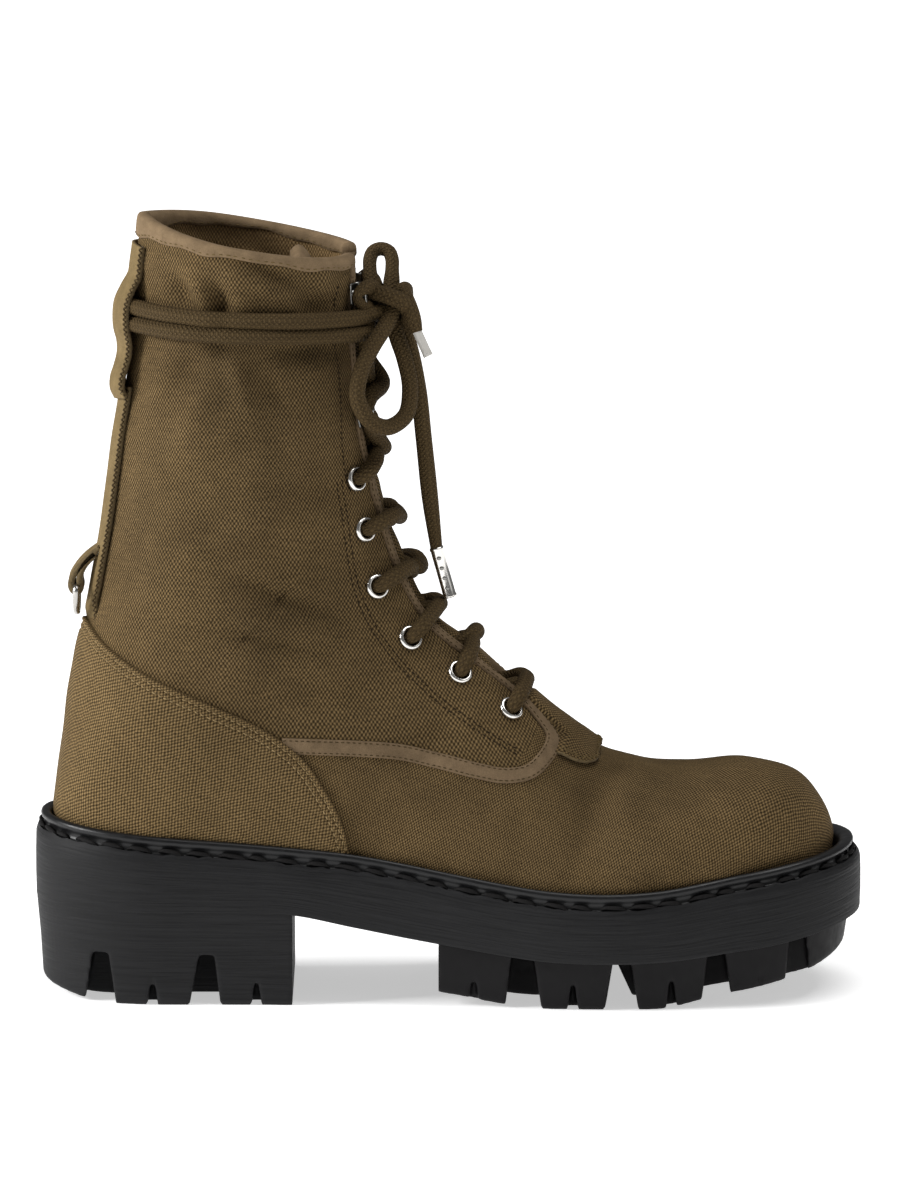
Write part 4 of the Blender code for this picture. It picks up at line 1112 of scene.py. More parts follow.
def sewn(name, row, share, side):
    """Dark stitches along rows and shares of the upper."""
    path, normal = creased(row, share, side)
    return stitches(name, path, normal, SEAM_STITCH, THREAD_DARK)


stay_x, stay_z = eased(EYESTAY, np.arange(len(EYESTAY)), EYESTAY_POINTS)
for side, side_name in SIDES:
    for number, (backwards, down) in enumerate(EYESTAY_SHIFTS, 1):
        row, share = row_of(stay_x - backwards, stay_z - down, side)
        sewn(f"eyestay_stitches_{side_name}_{number}", row, share, side)
    share = share_at(SHAFT_SEAM, side, SHAFT_AWAY)
    seam = sewn(f"shaft_stitches_{side_name}", SHAFT_SEAM, share, side)
print("each shaft seam has", len(seam.data.polygons) // STITCH_FACES, "stitches")

# %% [markdown]
# ## Facing tape
# A suede tape binds the edge of each facing, turns at the foot of the throat and runs back along the seam
# of the vamp to the heel counter, twice as wide. It is a flat band with soft edges. Two rows of stitches
# hold it down. A second band wraps the raw edge of the facing itself, which shows when one looks into the
# lacing.

# %% Facing tapes and edge bindings
Turned = namedtuple("Turned", "row away")
TAPE_TURN = (Turned(7.62, 12.2), Turned(7.3, 13.2))
TAPE_TOP = 15.6
TAPE_HALF = 2.8
TAPE_EDGE_HALF = 1.4
TAPE_WIDENS = 7.9
WIDENING_ROWS = 0.7
TAPE_SEAMS = (-0.72, 0.72)
TAPE_STITCH = Stitch(2.0, 1.5, 0.42)
SEAM_HEIGHT = 0.95
TURN_AHEAD = 0.35
STRAIGHT_POINTS = 30
TAPE_PROFILE = (
    (-1.0, 0.0), (-0.98, 0.55), (-0.86, 0.92), (-0.55, 1.06), (-0.36, 0.98), (0.0, 1.1), (0.36, 0.98),
    (0.55, 1.06), (0.86, 0.92), (0.98, 0.55), (1.0, 0.0), (0.6, -0.5), (-0.6, -0.5),
)
TAPE_ROWS = 190
EDGE_PROFILE = (
    (14.2, -3.0), (13.0, -3.4), (11.4, -3.5), (10.3, -3.1), (9.75, -2.2), (9.65, -1.1), (9.8, 0.0),
    (10.4, 0.85), (11.4, 1.05), (12.4, 0.9), (13.0, 0.2), (12.6, -1.2), (11.0, -1.2), (12.0, -2.2),
)
EDGE_ROWS = np.linspace(THROAT_FOOT + 0.02, COLLAR - 0.12, 150)


def tape_line(side):
    """Rows and shares along the middle of the tape."""
    straight = np.linspace(TAPE_TOP, TAPE_TURN[0].row + TURN_AHEAD, STRAIGHT_POINTS)
    row = list(straight) + [turn.row for turn in TAPE_TURN]
    share = list(share_at(straight, side, TAPE_TURN[0].away))
    share += [float(share_at(turn.row, side, turn.away)) for turn in TAPE_TURN]
    back_row, back_share = row_of(tape_x[::-1], tape_z[::-1], side)
    row = np.array(row + list(back_row))
    share = np.array(share + list(back_share))
    run = lengths(skin_point(row, share, side))
    fine = np.linspace(0, run[-1], TAPE_ROWS)
    return smooth(run, row)(fine), smooth(run, share)(fine)


for side, side_name in SIDES:
    row, share = tape_line(side)
    point, normal = creased(row, share, side)
    ahead = unit(np.gradient(point, axis=0))
    across = unit(np.cross(ahead, normal))
    half = TAPE_EDGE_HALF + (TAPE_HALF - TAPE_EDGE_HALF) * np.clip((TAPE_WIDENS - row) / WIDENING_ROWS, 0, 1)
    half = np.maximum.accumulate(half)[:, None]
    profile = np.array(TAPE_PROFILE) * np.stack([half, np.ones_like(half)], -1)
    grid = along_frames(point, across, normal, profile)
    nodes = (f"facing_tape_{side_name}",)
    ring_sweep(f"facing_tape_{side_name}_suede", grid, SUEDE, nodes)
    for number, shift in enumerate(TAPE_SEAMS):
        path = point + across * shift * half + normal * SEAM_HEIGHT
        label = f"tape_stitches_{side_name}_{number + 1}"
        stitches(label, path, normal, TAPE_STITCH, OVERCAST)
    edge_grid = np.stack([on_ridge(EDGE_ROWS, side * a, b) for a, b in EDGE_PROFILE], 1)
    ring_sweep(f"facing_edge_{side_name}", edge_grid, SUEDE)
print("tape length on the inner side, mm:", round(float(lengths(point)[-1]), 1))

# %% [markdown]
# ## Heel counter
# The counter is a second layer of canvas that stiffens the heel. Its top edge is turned under, so it stands
# up as a rounded step, and two rows of stitches run just inside it. The grid goes from the sole to that
# edge and rolls down into the upper at the end.

# %% Heel counter
COUNTER_EDGE = table(
    Place,
    (-126.6, 131.4), (-118.0, 124.0), (-104.0, 116.0), (-84.0, 107.0), (-66.0, 98.5), (-52.0, 88.5),
    (-43.0, 76.0), (-37.0, 64.0), (-34.5, 53.0),
)
COUNTER_LIFT = 1.6
COUNTER_BAND = 9.0
COUNTER_ROWS = 36
COUNTER_COLUMNS = 96
COLUMN_SPREAD = 1.4
COUNTER_STITCH = Stitch(2.3, 1.7, 0.6)
BAND_ROWS = 25
BAND_ENDS = (8.6, 1.6)
BAND_SHARE = 0.8
FOOT_START = HEEL_END + 1.0
FOOT_SPREAD = 1.25
FOOT_RISE = 1.2
FOOT_LIFT = 0.7
FOOT_ROWS = 5
SEAM_ROWS = (1.9, 4.2)
SEAM_DIP = 0.5
DIP_HALF = 0.45
EDGE_ROLL = ((1.2, 0.2), (0.7, 0.3), (0.35, 0.2), (0.1, -0.25), (0.0, -1.0), (0.0, -2.4))
counter_run = np.arange(len(COUNTER_EDGE))
counter_x, counter_z = curves(COUNTER_EDGE, counter_run)


def counter_lines(side, steps, near, lifts):
    """Points of the counter on one side. near counts from 0 at the sole to 1, then down in mm to its edge."""
    steps = steps[:, None]
    top_x, top_z = counter_x(steps), counter_z(steps)
    share = steps / counter_run[-1]
    foot_x = FOOT_START + (COUNTER_EDGE[-1].x - FOOT_START) * share**FOOT_SPREAD
    foot_z = footbed(foot_x) + FOOT_RISE
    tall = np.hypot(top_x - foot_x, top_z - foot_z)
    band = np.minimum(COUNTER_BAND, BAND_SHARE * tall)
    parts = np.where(near >= 0, near * (1 - band / tall), 1 + (near + 1) * band / tall / COUNTER_BAND)
    x = foot_x + (top_x - foot_x) * parts
    z = foot_z + (top_z - foot_z) * parts
    x = np.where(steps == 0, seam_x(z), x)
    row, share = row_of(x, z, side)
    return creased(row, share, side, lifts)


def to_edge(distance):
    """The place that many millimetres short of the edge."""
    return -1.0 - np.asarray(distance, float)


counter_steps = counter_run[-1] * np.linspace(0, 1, COUNTER_COLUMNS) ** COLUMN_SPREAD
band_steps = np.linspace(*BAND_ENDS, BAND_ROWS)
dips = SEAM_DIP * sum(np.exp(-(((band_steps - seam) / DIP_HALF) ** 2)) for seam in SEAM_ROWS)
roll_steps, roll_rises = np.transpose(EDGE_ROLL)
counter_parts = np.concatenate([np.linspace(0, 1, COUNTER_ROWS), to_edge(band_steps), to_edge(roll_steps)])
counter_lifts = np.concatenate([np.zeros(COUNTER_ROWS), -dips, roll_rises]) + COUNTER_LIFT
counter_lifts[:FOOT_ROWS] = np.linspace(FOOT_LIFT, COUNTER_LIFT, FOOT_ROWS)
outer_lines, _ = counter_lines(LATERAL, counter_steps[::-1], counter_parts, counter_lifts)
inner_lines, _ = counter_lines(MEDIAL, counter_steps[1:], counter_parts, counter_lifts)
counter_grid = np.concatenate([outer_lines, inner_lines])
counter = sheet("heel_counter_canvas", counter_grid, COUNTER_CANVAS_PAINTED_LIGHT, ("heel_counter",))
lay_flat(counter, np.zeros(len(counter.data.polygons), int), (((1, 0, 0), (0, 0, 1), 1.0),))
for number, seam in enumerate(SEAM_ROWS):
    for side, side_name in SIDES:
        path, normal = counter_lines(side, counter_steps, to_edge([seam]), COUNTER_LIFT - SEAM_DIP)
        label = f"counter_stitches_{side_name}_{number + 1}"
        stitches(label, path[:, 0], normal[:, 0], COUNTER_STITCH, THREAD_PALE, lift=0.1)
print("counter:", len(counter.data.polygons), "quads")

# %% [markdown]
# ## Collar binding
# The top edge is wrapped in a slightly paler suede, folded over the rim and sewn through with tan thread.
# Cloth is never quite even under a binding, so its depth wavers. It is deepest at the back and least at the
# side.

# %% Collar binding
BINDING_DEPTH = 3.6
BINDING_BACK = 3.6
BINDING_SPREAD = 0.16
BINDING_DIP = -1.3
BINDING_FOLDS = 0.7
DIP_SHARE = 0.52
DIP_SPREAD = 0.1
WAVER = 0.35
WAVER_RATE = 41
COLLAR_STITCH = Stitch(2.6, 1.9, 0.45)
COLLAR_SEAMS = (("outer", 1.3, 1), ("inner", -3.8, -1))
SEAM_ABOVE = 1.1
RIM_TOP = 4.0
# Each place of the rim is millimetres out and a height, 0 at the binding's lower edge and 1 at the collar
RIM = ((0.35, 0.0), (1.15, 0.06), (1.4, 0.3), (1.35, 0.75), (1.15, 1.0), (0.55, 1.22), (-1.2, 1.3))
RIM_INSIDE = ((-2.9, 1.22), (-3.6, 1.0), (-3.9, 0.75), (-3.9, 0.3), (-3.6, 0.06), (-2.7, 0.0), (-1.2, 0.3))
COLLAR_COUNT = 90
halves = []
for side, _ in SIDES:
    share = np.linspace(float(share_at(COLLAR, side, THROAT_GAP)), 0, COLLAR_COUNT)
    if side == MEDIAL:
        share = share[-2::-1]
    point, normal, up, _ = skin_frame(COLLAR, share, side)
    up = unit(up - normal * (up * normal).sum(-1, keepdims=True))
    depth = BINDING_DEPTH + BINDING_BACK * np.exp(-((share / BINDING_SPREAD) ** 2))
    depth = depth + BINDING_DIP * np.exp(-(((share - DIP_SHARE) / DIP_SPREAD) ** 2))
    depth = depth + WAVER * np.sin(share * WAVER_RATE + side)
    halves.append((point + normal * folds(point)[:, None] * BINDING_FOLDS, normal, up, depth))
collar_point, collar_normal, collar_up, collar_depth = (np.concatenate(both) for both in zip(*halves))
rim_out, rim_up = np.transpose(RIM + RIM_INSIDE)
low = -collar_depth[:, None]
rim_up = np.where(rim_up > 0.9, (rim_up - 1.0) * RIM_TOP, low - low * rim_up)
rim_grid = np.stack(np.broadcast_arrays(rim_out, rim_up), -1)
grid = along_frames(collar_point, collar_normal, collar_up, rim_grid)
ring_sweep("collar_binding_suede", grid, COLLAR_SUEDE, ("collar_binding",))
for label, out, way in COLLAR_SEAMS:
    path = collar_point + collar_normal * out - collar_up * (collar_depth - SEAM_ABOVE)[:, None]
    name = f"collar_stitches_{label}"
    stitches(name, path, collar_normal * way, COLLAR_STITCH, THREAD_TAN)
print("collar length, mm:", round(float(lengths(collar_point)[-1]), 1))

# %% [markdown]
# ## Tongue
# The tongue is a doubled strip of canvas behind the lacing. It is sewn in at the foot of the throat, swells
# out between the facings, more so higher up, and its top, bound in suede, leans back into the shaft.

# %% Tongue
TONGUE_HALF = 23.0
TONGUE_THICK = 3.2
TONGUE_CROWN = 3.6
TONGUE_SWELL = 2.4
TONGUE_TOP = 15.9
TONGUE_LEAN = 15.0
TONGUE_RISE = 5.0
LEAN_START = 14.0
TONGUE_DEEP = 4.5
SWELL_START = 11.6
SWELL_ROWS = 0.8
CROWN_END = 15.3
CROWN_ROWS = 1.1
NARROW_START = 15.2
NARROW_ROWS = 0.7
NARROW_SHARE = 0.35
PUCKER = 0.35
PUCKER_RATES = (7.0, 3.0)
RISE_DROP = 0.4
TONGUE_FOOT = THROAT_FOOT - 0.1
FOOT_BLEND = 0.6
CROWN_HALF = THROAT_GAP - 2.2
TONGUE_ROWS = 110
TONGUE_COLUMNS = 41
CUFF = ((1.0, 5.0), (1.3, 3.0), (1.2, 0.5), (0.3, -1.0), (-1.6, -1.4), (-3.5, -1.0), (-4.4, 0.5), (-4.4, 4.6))
tongue_rows = np.linspace(TONGUE_FOOT, TONGUE_TOP, TONGUE_ROWS)[:, None]
tongue_parts = np.linspace(-1, 1, TONGUE_COLUMNS)[None, :]
bend = np.clip((tongue_rows - LEAN_START) / (TONGUE_TOP - LEAN_START), 0, 1) ** 2
crown = np.clip(1 - (tongue_parts * TONGUE_HALF / CROWN_HALF) ** 2, 0, 1)
swell = TONGUE_CROWN + TONGUE_SWELL * np.clip((tongue_rows - SWELL_START) / SWELL_ROWS, 0, 1)
crown = crown * swell * np.clip((tongue_rows - THROAT_FOOT) / FOOT_BLEND, 0, 1)
crown = crown * np.clip((CROWN_END - tongue_rows) / CROWN_ROWS, 0, 1)
puckers = PUCKER * np.sin(tongue_rows * PUCKER_RATES[0] + tongue_parts * PUCKER_RATES[1])
narrow = 1 - NARROW_SHARE * np.clip((tongue_rows - NARROW_START) / NARROW_ROWS, 0, 1) ** 2
tongue_grid = on_ridge(tongue_rows, tongue_parts * TONGUE_HALF * narrow, -TONGUE_DEEP + crown + puckers)
tongue_grid[..., 0] -= TONGUE_LEAN * bend
tongue_grid[..., 2] += TONGUE_RISE * bend * (1 - tongue_parts**2 - RISE_DROP)
sheet("tongue_canvas", tongue_grid, CANVAS, ("tongue",), -TONGUE_THICK)
top_edge = tongue_grid[-1]
top_down = unit(tongue_grid[-4] - tongue_grid[-1])
top_along = unit(np.gradient(top_edge, axis=0))
top_out = unit(np.cross(top_along, top_down))
facing_front = np.sign(top_out[len(top_out) // 2][0])
cuff_grid = along_frames(top_edge, top_out * facing_front, top_down, CUFF)
ring_sweep("tongue_top_suede", cuff_grid, COLLAR_SUEDE)
print("tongue:", tongue_grid.shape[0], "rows of", tongue_grid.shape[1], "points")

# %% [markdown]
# ## Tab over the tongue's foot
# In front of the throat lies a small square tab that covers the seam. Its front edge is cut, not turned, so
# it frays a little, and a tan zigzag thread holds it down. Its back goes under the facings.

# %% Tab
TAB_FRONT = 6.36
TAB_ROUND = 0.32
TAB_HALF = 24.5
TAB_BACK = 7.62
TAB_DIVE = 6.86
TAB_LIFT = 0.85
TAB_THICK = 1.3
TAB_ROWS = 64
TAB_COLUMNS = 57
TAB_NARROW = 0.66
TAB_SUNK = 4.0
DIVE_ROWS = 0.22
DIVE_AWAY = 13.0
DIVE_LATE = TAB_BACK - 0.24
DIVE_BLEND = 3.0
BUCKLE = 0.5
BUCKLE_RATES = (5.0, 4.0)
BUCKLE_ROWS = 0.2
FRAY = 0.012
FRAY_ROWS = 0.05
TAB_ZIGZAG = Zigzag(1.1, 1.6, 0.45)
SEWN_ROWS = 27
SEAM_IN = 2
tab_rows = np.linspace(TAB_FRONT, TAB_BACK, TAB_ROWS)
near = np.clip((tab_rows - TAB_FRONT) / TAB_ROUND, 0, 1)
tab_half = TAB_HALF * (TAB_NARROW + (1 - TAB_NARROW) * np.sqrt(1 - (1 - near) ** 2))
tab_parts = np.linspace(-1, 1, TAB_COLUMNS)[None, :]
fray = rng.normal(0, FRAY, TAB_COLUMNS) * np.exp(-((tab_rows[:, None] - TAB_FRONT) / FRAY_ROWS) ** 2)
tab_away = np.abs(tab_half[:, None] * tab_parts)
dive = TAB_DIVE + (DIVE_LATE - TAB_DIVE) * np.clip((DIVE_AWAY - tab_away) / DIVE_BLEND, 0, 1)
sunk = TAB_SUNK * np.clip((tab_rows[:, None] - dive) / DIVE_ROWS, 0, 1)
buckle = BUCKLE * np.sin(tab_parts * BUCKLE_RATES[0] + tab_rows[:, None] * BUCKLE_RATES[1])
tab_lift = TAB_LIFT + buckle * np.clip((TAB_DIVE - tab_rows[:, None]) / BUCKLE_ROWS, 0, 1) - sunk
tab_grid = on_ridge(tab_rows[:, None] + fray, tab_half[:, None] * tab_parts, tab_lift)
sheet("tongue_tab_canvas", tab_grid, (CANVAS, RAW_EDGE), ("tongue_tab",), TAB_THICK, rim=1)
last = TAB_COLUMNS - 1
down = np.arange(1, SEWN_ROWS + 1)
rim_rows = np.concatenate([down[::-1], np.zeros(TAB_COLUMNS, int), down])
rim_columns = np.concatenate([np.full(SEWN_ROWS, 0), np.arange(TAB_COLUMNS), np.full(SEWN_ROWS, last)])
inner_rows = np.clip(rim_rows, SEAM_IN, None)
inner_columns = np.clip(rim_columns, SEAM_IN, last - SEAM_IN)
rim_side = np.where(rim_columns < TAB_COLUMNS // 2, LATERAL, MEDIAL)
rim_away = np.abs(tab_half[inner_rows] * tab_parts[0, inner_columns])
tab_normal = skin_frame(tab_rows[inner_rows], share_at(tab_rows[inner_rows], rim_side, rim_away), rim_side)[1]
tab_path = tab_grid[inner_rows, inner_columns] + tab_normal * TAB_THICK
deep_rows = np.clip(rim_rows, 2 * SEAM_IN, None)
deep_columns = np.clip(rim_columns, 2 * SEAM_IN, last - 2 * SEAM_IN)
tab_across = unit(tab_grid[rim_rows, rim_columns] - tab_grid[deep_rows, deep_columns])
zigzag("tab_zigzag", tab_path, tab_across, tab_normal, TAB_ZIGZAG, THREAD_TAN)
print("tab:", TAB_ROWS, "rows of", TAB_COLUMNS, "points, sewn over", len(rim_rows), "of its edge points")

# %% [markdown]
# ## Back strap
# A strap of close cloth runs down the back seam. Near the top it stands off the boot as a loop, so that the
# lace can pass under it. Below, it lies flat. Its cut sides are dark and rough, and a zigzag thread covers
# them.

# %% Back strap
Standing = namedtuple("Standing", "z lift")
LOOP_ROUTE = table(
    Standing,
    (264.2, 0.5), (258.5, 0.5), (253.5, 1.0), (248.5, 3.6), (243.5, 5.6), (238.0, 5.9), (233.0, 5.2),
    (229.0, 3.7), (225.0, 3.0), (220.0, 3.4), (215.5, 4.1), (212.0, 3.6), (209.6, 2.0),
)
LOOP_THICK = 1.5
LOOP_WIDTH = 18.0
STAY_TOP = 213.0
STAY_FOOT = 129.0
STAY_THICK = 1.4
STAY_LIFT = 0.5
STAY_WIDTH = 17.0
STAY_TUCK = 2.2
TUCK_START = 135.0
TUCK_TALL = 5.0
STRAP_COLUMNS = 25
STRAP_FOLDS = 0.5
STRAP_ZIGZAG = Zigzag(0.9, 2.0, 0.6)
LOOP_ROWS = 110
STAY_ROWS = 90
EDGE_SHARE = 0.7
SHARE_HALVINGS = 30


def back_row(z):
    """Row of the back seam at a height."""
    return row_at_height(z, LATERAL, lambda row: np.zeros(np.shape(row)))


def back_share(row, side, away):
    """Share at which a section is that far out from the back seam."""
    low = np.zeros(np.shape(away))
    high = np.full(np.shape(away), 0.5)
    for _ in range(SHARE_HALVINGS):
        share = (low + high) / 2
        near = np.abs(skin_point(row, share, side)[..., 1]) < away
        low = np.where(near, share, low)
        high = np.where(near, high, share)
    return share


def back_strip(heights, lift, width, columns):
    """A grid that lies along the back seam, or stands off it, with the outward normals."""
    across = np.linspace(-1, 1, columns)[None, :] * width / 2
    row, away = np.broadcast_arrays(back_row(heights)[:, None], across)
    side = np.where(away < 0, LATERAL, MEDIAL)
    point, normal, _, _ = skin_frame(row, back_share(row, side, np.abs(away)), side)
    return point + normal * (lift[:, None] + STRAP_FOLDS * folds(point))[..., None], normal


def strap(name, heights, lift, width, thick, nodes):
    """A strap with a smooth face and a zigzag thread over both cut edges."""
    grid, normal = back_strip(heights, lift, width, STRAP_COLUMNS)
    sheet(name, grid, (TWILL, RAW_EDGE), nodes, thick, rim=1)
    for edge, next_to, label in ((0, 2, "lateral"), (-1, -3, "medial")):
        out = unit(grid[:, edge] - grid[:, next_to])
        path = grid[:, edge] * EDGE_SHARE + grid[:, next_to] * (1 - EDGE_SHARE)
        path = path + normal[:, edge] * thick
        zigzag(f"{name}_zigzag_{label}", path, out, normal[:, edge], STRAP_ZIGZAG, OVERCAST)


loop_z, loop_lift = eased(LOOP_ROUTE, lengths(np.array(LOOP_ROUTE)), LOOP_ROWS)
strap("back_loop_strap", loop_z, loop_lift, LOOP_WIDTH, LOOP_THICK, ("back_loop",))
stay_heights = np.linspace(STAY_TOP, STAY_FOOT, STAY_ROWS)
stay_lift = STAY_LIFT - STAY_TUCK * np.clip((TUCK_START - stay_heights) / TUCK_TALL, 0, 1)
strap("backstay_strap", stay_heights, stay_lift, STAY_WIDTH, STAY_THICK, ("backstay",))
print("loop stands off the seam by up to", round(float(loop_lift.max()), 1), "mm")

# %% [markdown]
# ## Ring and its tab
# At the strap's foot a small folded tab carries a wire ring, the one part of the boot that swings. The ring
# has a straight bar, which turns inside the fold, and a bow that hangs from it. Its corners are rounded by
# averaging each place with its neighbours a few times.

# %% Ring tab and ring
TAB_FOLD = (
    (-122.6, 157.4), (-127.2, 153.9), (-131.0, 149.6), (-132.9, 146.0), (-133.2, 142.8), (-131.9, 140.5),
    (-129.2, 140.1), (-127.7, 142.2), (-128.0, 145.6), (-127.2, 148.6), (-125.4, 151.2), (-123.0, 153.4),
)
TAB_WIDTH = 11.0
FOLD_THICK = 2.3
FOLD_ROWS = 60
FOLD_COLUMNS = 13
fold_x, fold_z = eased(TAB_FOLD, lengths(np.array(TAB_FOLD)), FOLD_ROWS)
fold_y = np.linspace(-TAB_WIDTH / 2, TAB_WIDTH / 2, FOLD_COLUMNS)
fold_grid = np.stack(np.broadcast_arrays(fold_x[:, None], fold_y[None, :], fold_z[:, None]), -1)
sheet("ring_tab_canvas", fold_grid, (TWILL, RAW_EDGE), ("ring_tab",), -FOLD_THICK, rim=1)

RING_X = -130.2
RING_Z = 143.0
RING_WIRE = 1.25
RING_HALF = 9.0
RING_DROP = 9.6
BOW_FULL = 0.8
BOW_STEPS = 60
BAR_STEPS = 40
RING_STEPS = 96
RING_ROUNDING = 8
WIRE_SIDES = 18
bow = np.linspace(0, math.pi, BOW_STEPS)
bar = np.linspace(RING_HALF, -RING_HALF, BAR_STEPS)[1:-1]
ring_y = np.concatenate([-RING_HALF * np.cos(bow), bar])
ring_z = np.concatenate([RING_Z - RING_DROP * np.sin(bow) ** BOW_FULL, np.full(len(bar), RING_Z)])
corners = np.stack([np.full(len(ring_y), RING_X), ring_y, ring_z], 1)
corners = np.concatenate([corners, corners[:1]])
ring_run = lengths(corners)
even = np.linspace(0, ring_run[-1], RING_STEPS + 1)[:-1]
ring_path = part_way(even, ring_run, corners)
for _ in range(RING_ROUNDING):
    ring_path = (np.roll(ring_path, 1, 0) + 2 * ring_path + np.roll(ring_path, -1, 0)) / 4
ring_grid = tube(ring_path, RING_WIRE, WIRE_SIDES, True)
ring_sweep("heel_ring_wire", ring_grid, RING_NICKEL, ("heel_ring",), True, "ring")
print("ring hangs to", round(float(ring_path[:, 2].min() - RING_WIRE), 1), "mm over the floor")

# %% [markdown]
# ## Eyelets and hooks
# An eyelet is a small tube pressed through the cloth and rolled over at both ends. Turning one profile
# about its axis gives that shape. The speed hooks higher up are strips of sheet metal, bent so that the
# lace slips under the lip, and held by a rivet.

# %% Eyelets and hooks
EYELET_PROFILE = (
    (2.75, -3.0), (2.8, -0.6), (2.8, 0.8), (2.95, 1.3), (3.3, 1.62), (3.75, 1.62), (4.15, 1.36),
    (4.42, 0.95), (4.5, 0.4), (4.2, -0.1), (3.4, -0.2), (3.3, -2.2), (3.9, -2.5), (4.1, -2.9), (3.7, -3.3),
    (3.0, -3.3),
)
HOOK_HEIGHTS = (204.5, 247.6)
HOOK_AWAY = 12.8
HOOK_BEND = (
    (2.2, 1.4), (0.0, 1.4), (-1.5, 1.45), (-2.3, 2.2), (-2.5, 3.8), (-2.3, 5.0), (-1.7, 5.7), (-0.7, 6.0),
    (0.2, 6.0),
)
HOOK_WIDTH = 7.4
HOOK_SHEET = 0.6
LIP_START = 0.86
LIP_SPREAD = 0.15
LIP_LEAST = 0.25
HOOK_STEPS = 48
HOOK_COLUMNS = 13
EYELET_STEPS = 48
RIVET_STEPS = 24
RIVET = ((0.0, 2.4), (0.7, 2.35), (1.2, 2.1), (1.4, 1.8), (1.4, 1.2), (0.0, 1.2))


def turned(name, origin, axis, profile, steps, finish, nodes=()):
    """A ring of revolution: a profile of (radius, height) about an axis."""
    first = np.array(Vector(axis).orthogonal().normalized())
    second = np.cross(axis, first)
    angle = np.linspace(0, 2 * math.pi, steps, endpoint=False)
    spoke = np.cos(angle)[:, None] * first + np.sin(angle)[:, None] * second
    profile = np.array(profile)
    grid = origin + spoke[:, None] * profile[None, :, :1] + np.asarray(axis) * profile[None, :, 1:]
    return ring_sweep(name, grid, finish, nodes, closed=True)


for side, side_name in SIDES:
    share = share_at(eyelet_row, side, eyelet_away)
    point, normal = creased(eyelet_row, share, side)
    for number in range(len(EYELETS)):
        nodes = (f"eyelet_{side_name}_{number + 1}",)
        label = f"eyelet_ring_{side_name}_{number + 1}"
        turned(label, point[number], normal[number], EYELET_PROFILE, EYELET_STEPS, NICKEL, nodes)

hook_row = {}
bend_a, bend_b = eased(HOOK_BEND, lengths(np.array(HOOK_BEND)), HOOK_STEPS)
past_lip = ((np.linspace(0, 1, HOOK_STEPS) - LIP_START) / LIP_SPREAD).clip(0)
hook_half = HOOK_WIDTH / 2 * np.sqrt(np.clip(1 - past_lip**2, LIP_LEAST, 1))
for side, side_name in SIDES:
    for number, height in enumerate(HOOK_HEIGHTS, 1):
        row = row_at_height(height, side, lambda row: share_at(row, side, HOOK_AWAY))
        hook_row[side, number] = float(row)
        point, normal, _, inward = skin_frame(row, share_at(row, side, HOOK_AWAY), side)
        point = point + normal * folds(point)
        inward = unit(inward - normal * (inward @ normal))
        tall = np.cross(normal, inward)
        across = np.linspace(-1, 1, HOOK_COLUMNS)[None, :, None] * hook_half[:, None, None] * tall
        grid = point - bend_a[:, None, None] * inward + bend_b[:, None, None] * normal + across
        if side == LATERAL:
            grid = grid[:, ::-1]
        nodes = (f"hook_{side_name}_{number}",)
        made = sheet(f"hook_metal_{side_name}_{number}", grid, DULL_NICKEL, nodes, -HOOK_SHEET)
        made.modifiers["thickness"].offset = 0.0
        rivet_at = point - inward * HOOK_SHEET
        turned(f"hook_rivet_{side_name}_{number}", rivet_at, normal, RIVET, RIVET_STEPS, DULL_NICKEL)
print("hooks at rows", {key: round(value, 2) for key, value in hook_row.items()})

# %% [markdown]
# ## Laces
# The lace starts as a bar inside the lowest pair of eyelets. Each half comes out through its eyelet,
# crosses the tongue, slips under the opposite facing and comes out of the next eyelet. Higher up it turns
# round the hooks. A table gives one crossing, and both halves repeat it from side to side. Where the lace
# squeezes through an eyelet or lies flat under the canvas it is thinner, so each place also has a girth.

# %% Crossing laces
LACE = 5.8
LACE_SIDES = 18
LACE_STEP = 0.9
Pass = namedtuple("Pass", "climb away over under girth")
CROSS_ROWS = (7.55, 8.3, 9.02, 9.62, 10.4, 11.6)
HOLE_OUT = table(
    Pass,
    (0.00, 1.00, -3.4, -3.4, 0.66), (0.00, 1.00, -0.6, -0.6, 0.76), (0.02, 0.985, 1.6, 1.6, 0.86),
    (0.10, 0.90, 3.3, 3.1, 1.0), (0.36, 0.66, 3.7, 3.2, 1.0), (0.70, 0.33, 3.4, 1.6, 1.0),
    (1.00, 0.00, 2.9, -0.6, 1.0),
)
UNDER_FACING = table(
    Pass,
    (0.06, -0.20, 2.0, -1.0, 1.0), (0.14, -0.36, -0.8, -2.2, 0.9), (0.26, -0.47, -3.4, -3.8, 0.72),
    (0.50, -0.66, -4.6, -4.6, 0.64), (0.80, -0.88, -4.9, -4.9, 0.64), (0.98, -1.00, -4.8, -4.8, 0.66),
)
Hooked = namedtuple("Hooked", "row away lift girth")
TO_HOOK = (Hooked(-0.36, -9.0, 5.2, 1.0), Hooked(-0.2, -13.0, 4.7, 0.75), Hooked(0.0, -14.8, 4.3, 0.6))
TO_KNOT = (Hooked(0.1, -12.6, 4.9, 0.8), Hooked(0.08, -8.0, 5.6, 0.95), Hooked(-0.05, -3.0, 6.0, 1.0))
TO_LOW_HOOK = (Hooked(-0.5, -8.0, 3.0, 1.0), *TO_HOOK[1:])
FROM_HOOK = (Hooked(0.2, -13.0, 4.7, 0.75), Hooked(0.32, -9.0, 4.2, 1.0))
TOP_PEAK = 1.4
LOWEST_BAR = (Hooked(-0.1, 1.0, -10.0, 0.7), Hooked(-0.06, 12.0, -8.6, 0.62))
LAST_CROSSING = 13.12
RISE_OVER = 7.6
RISE_UNDER = 2.6
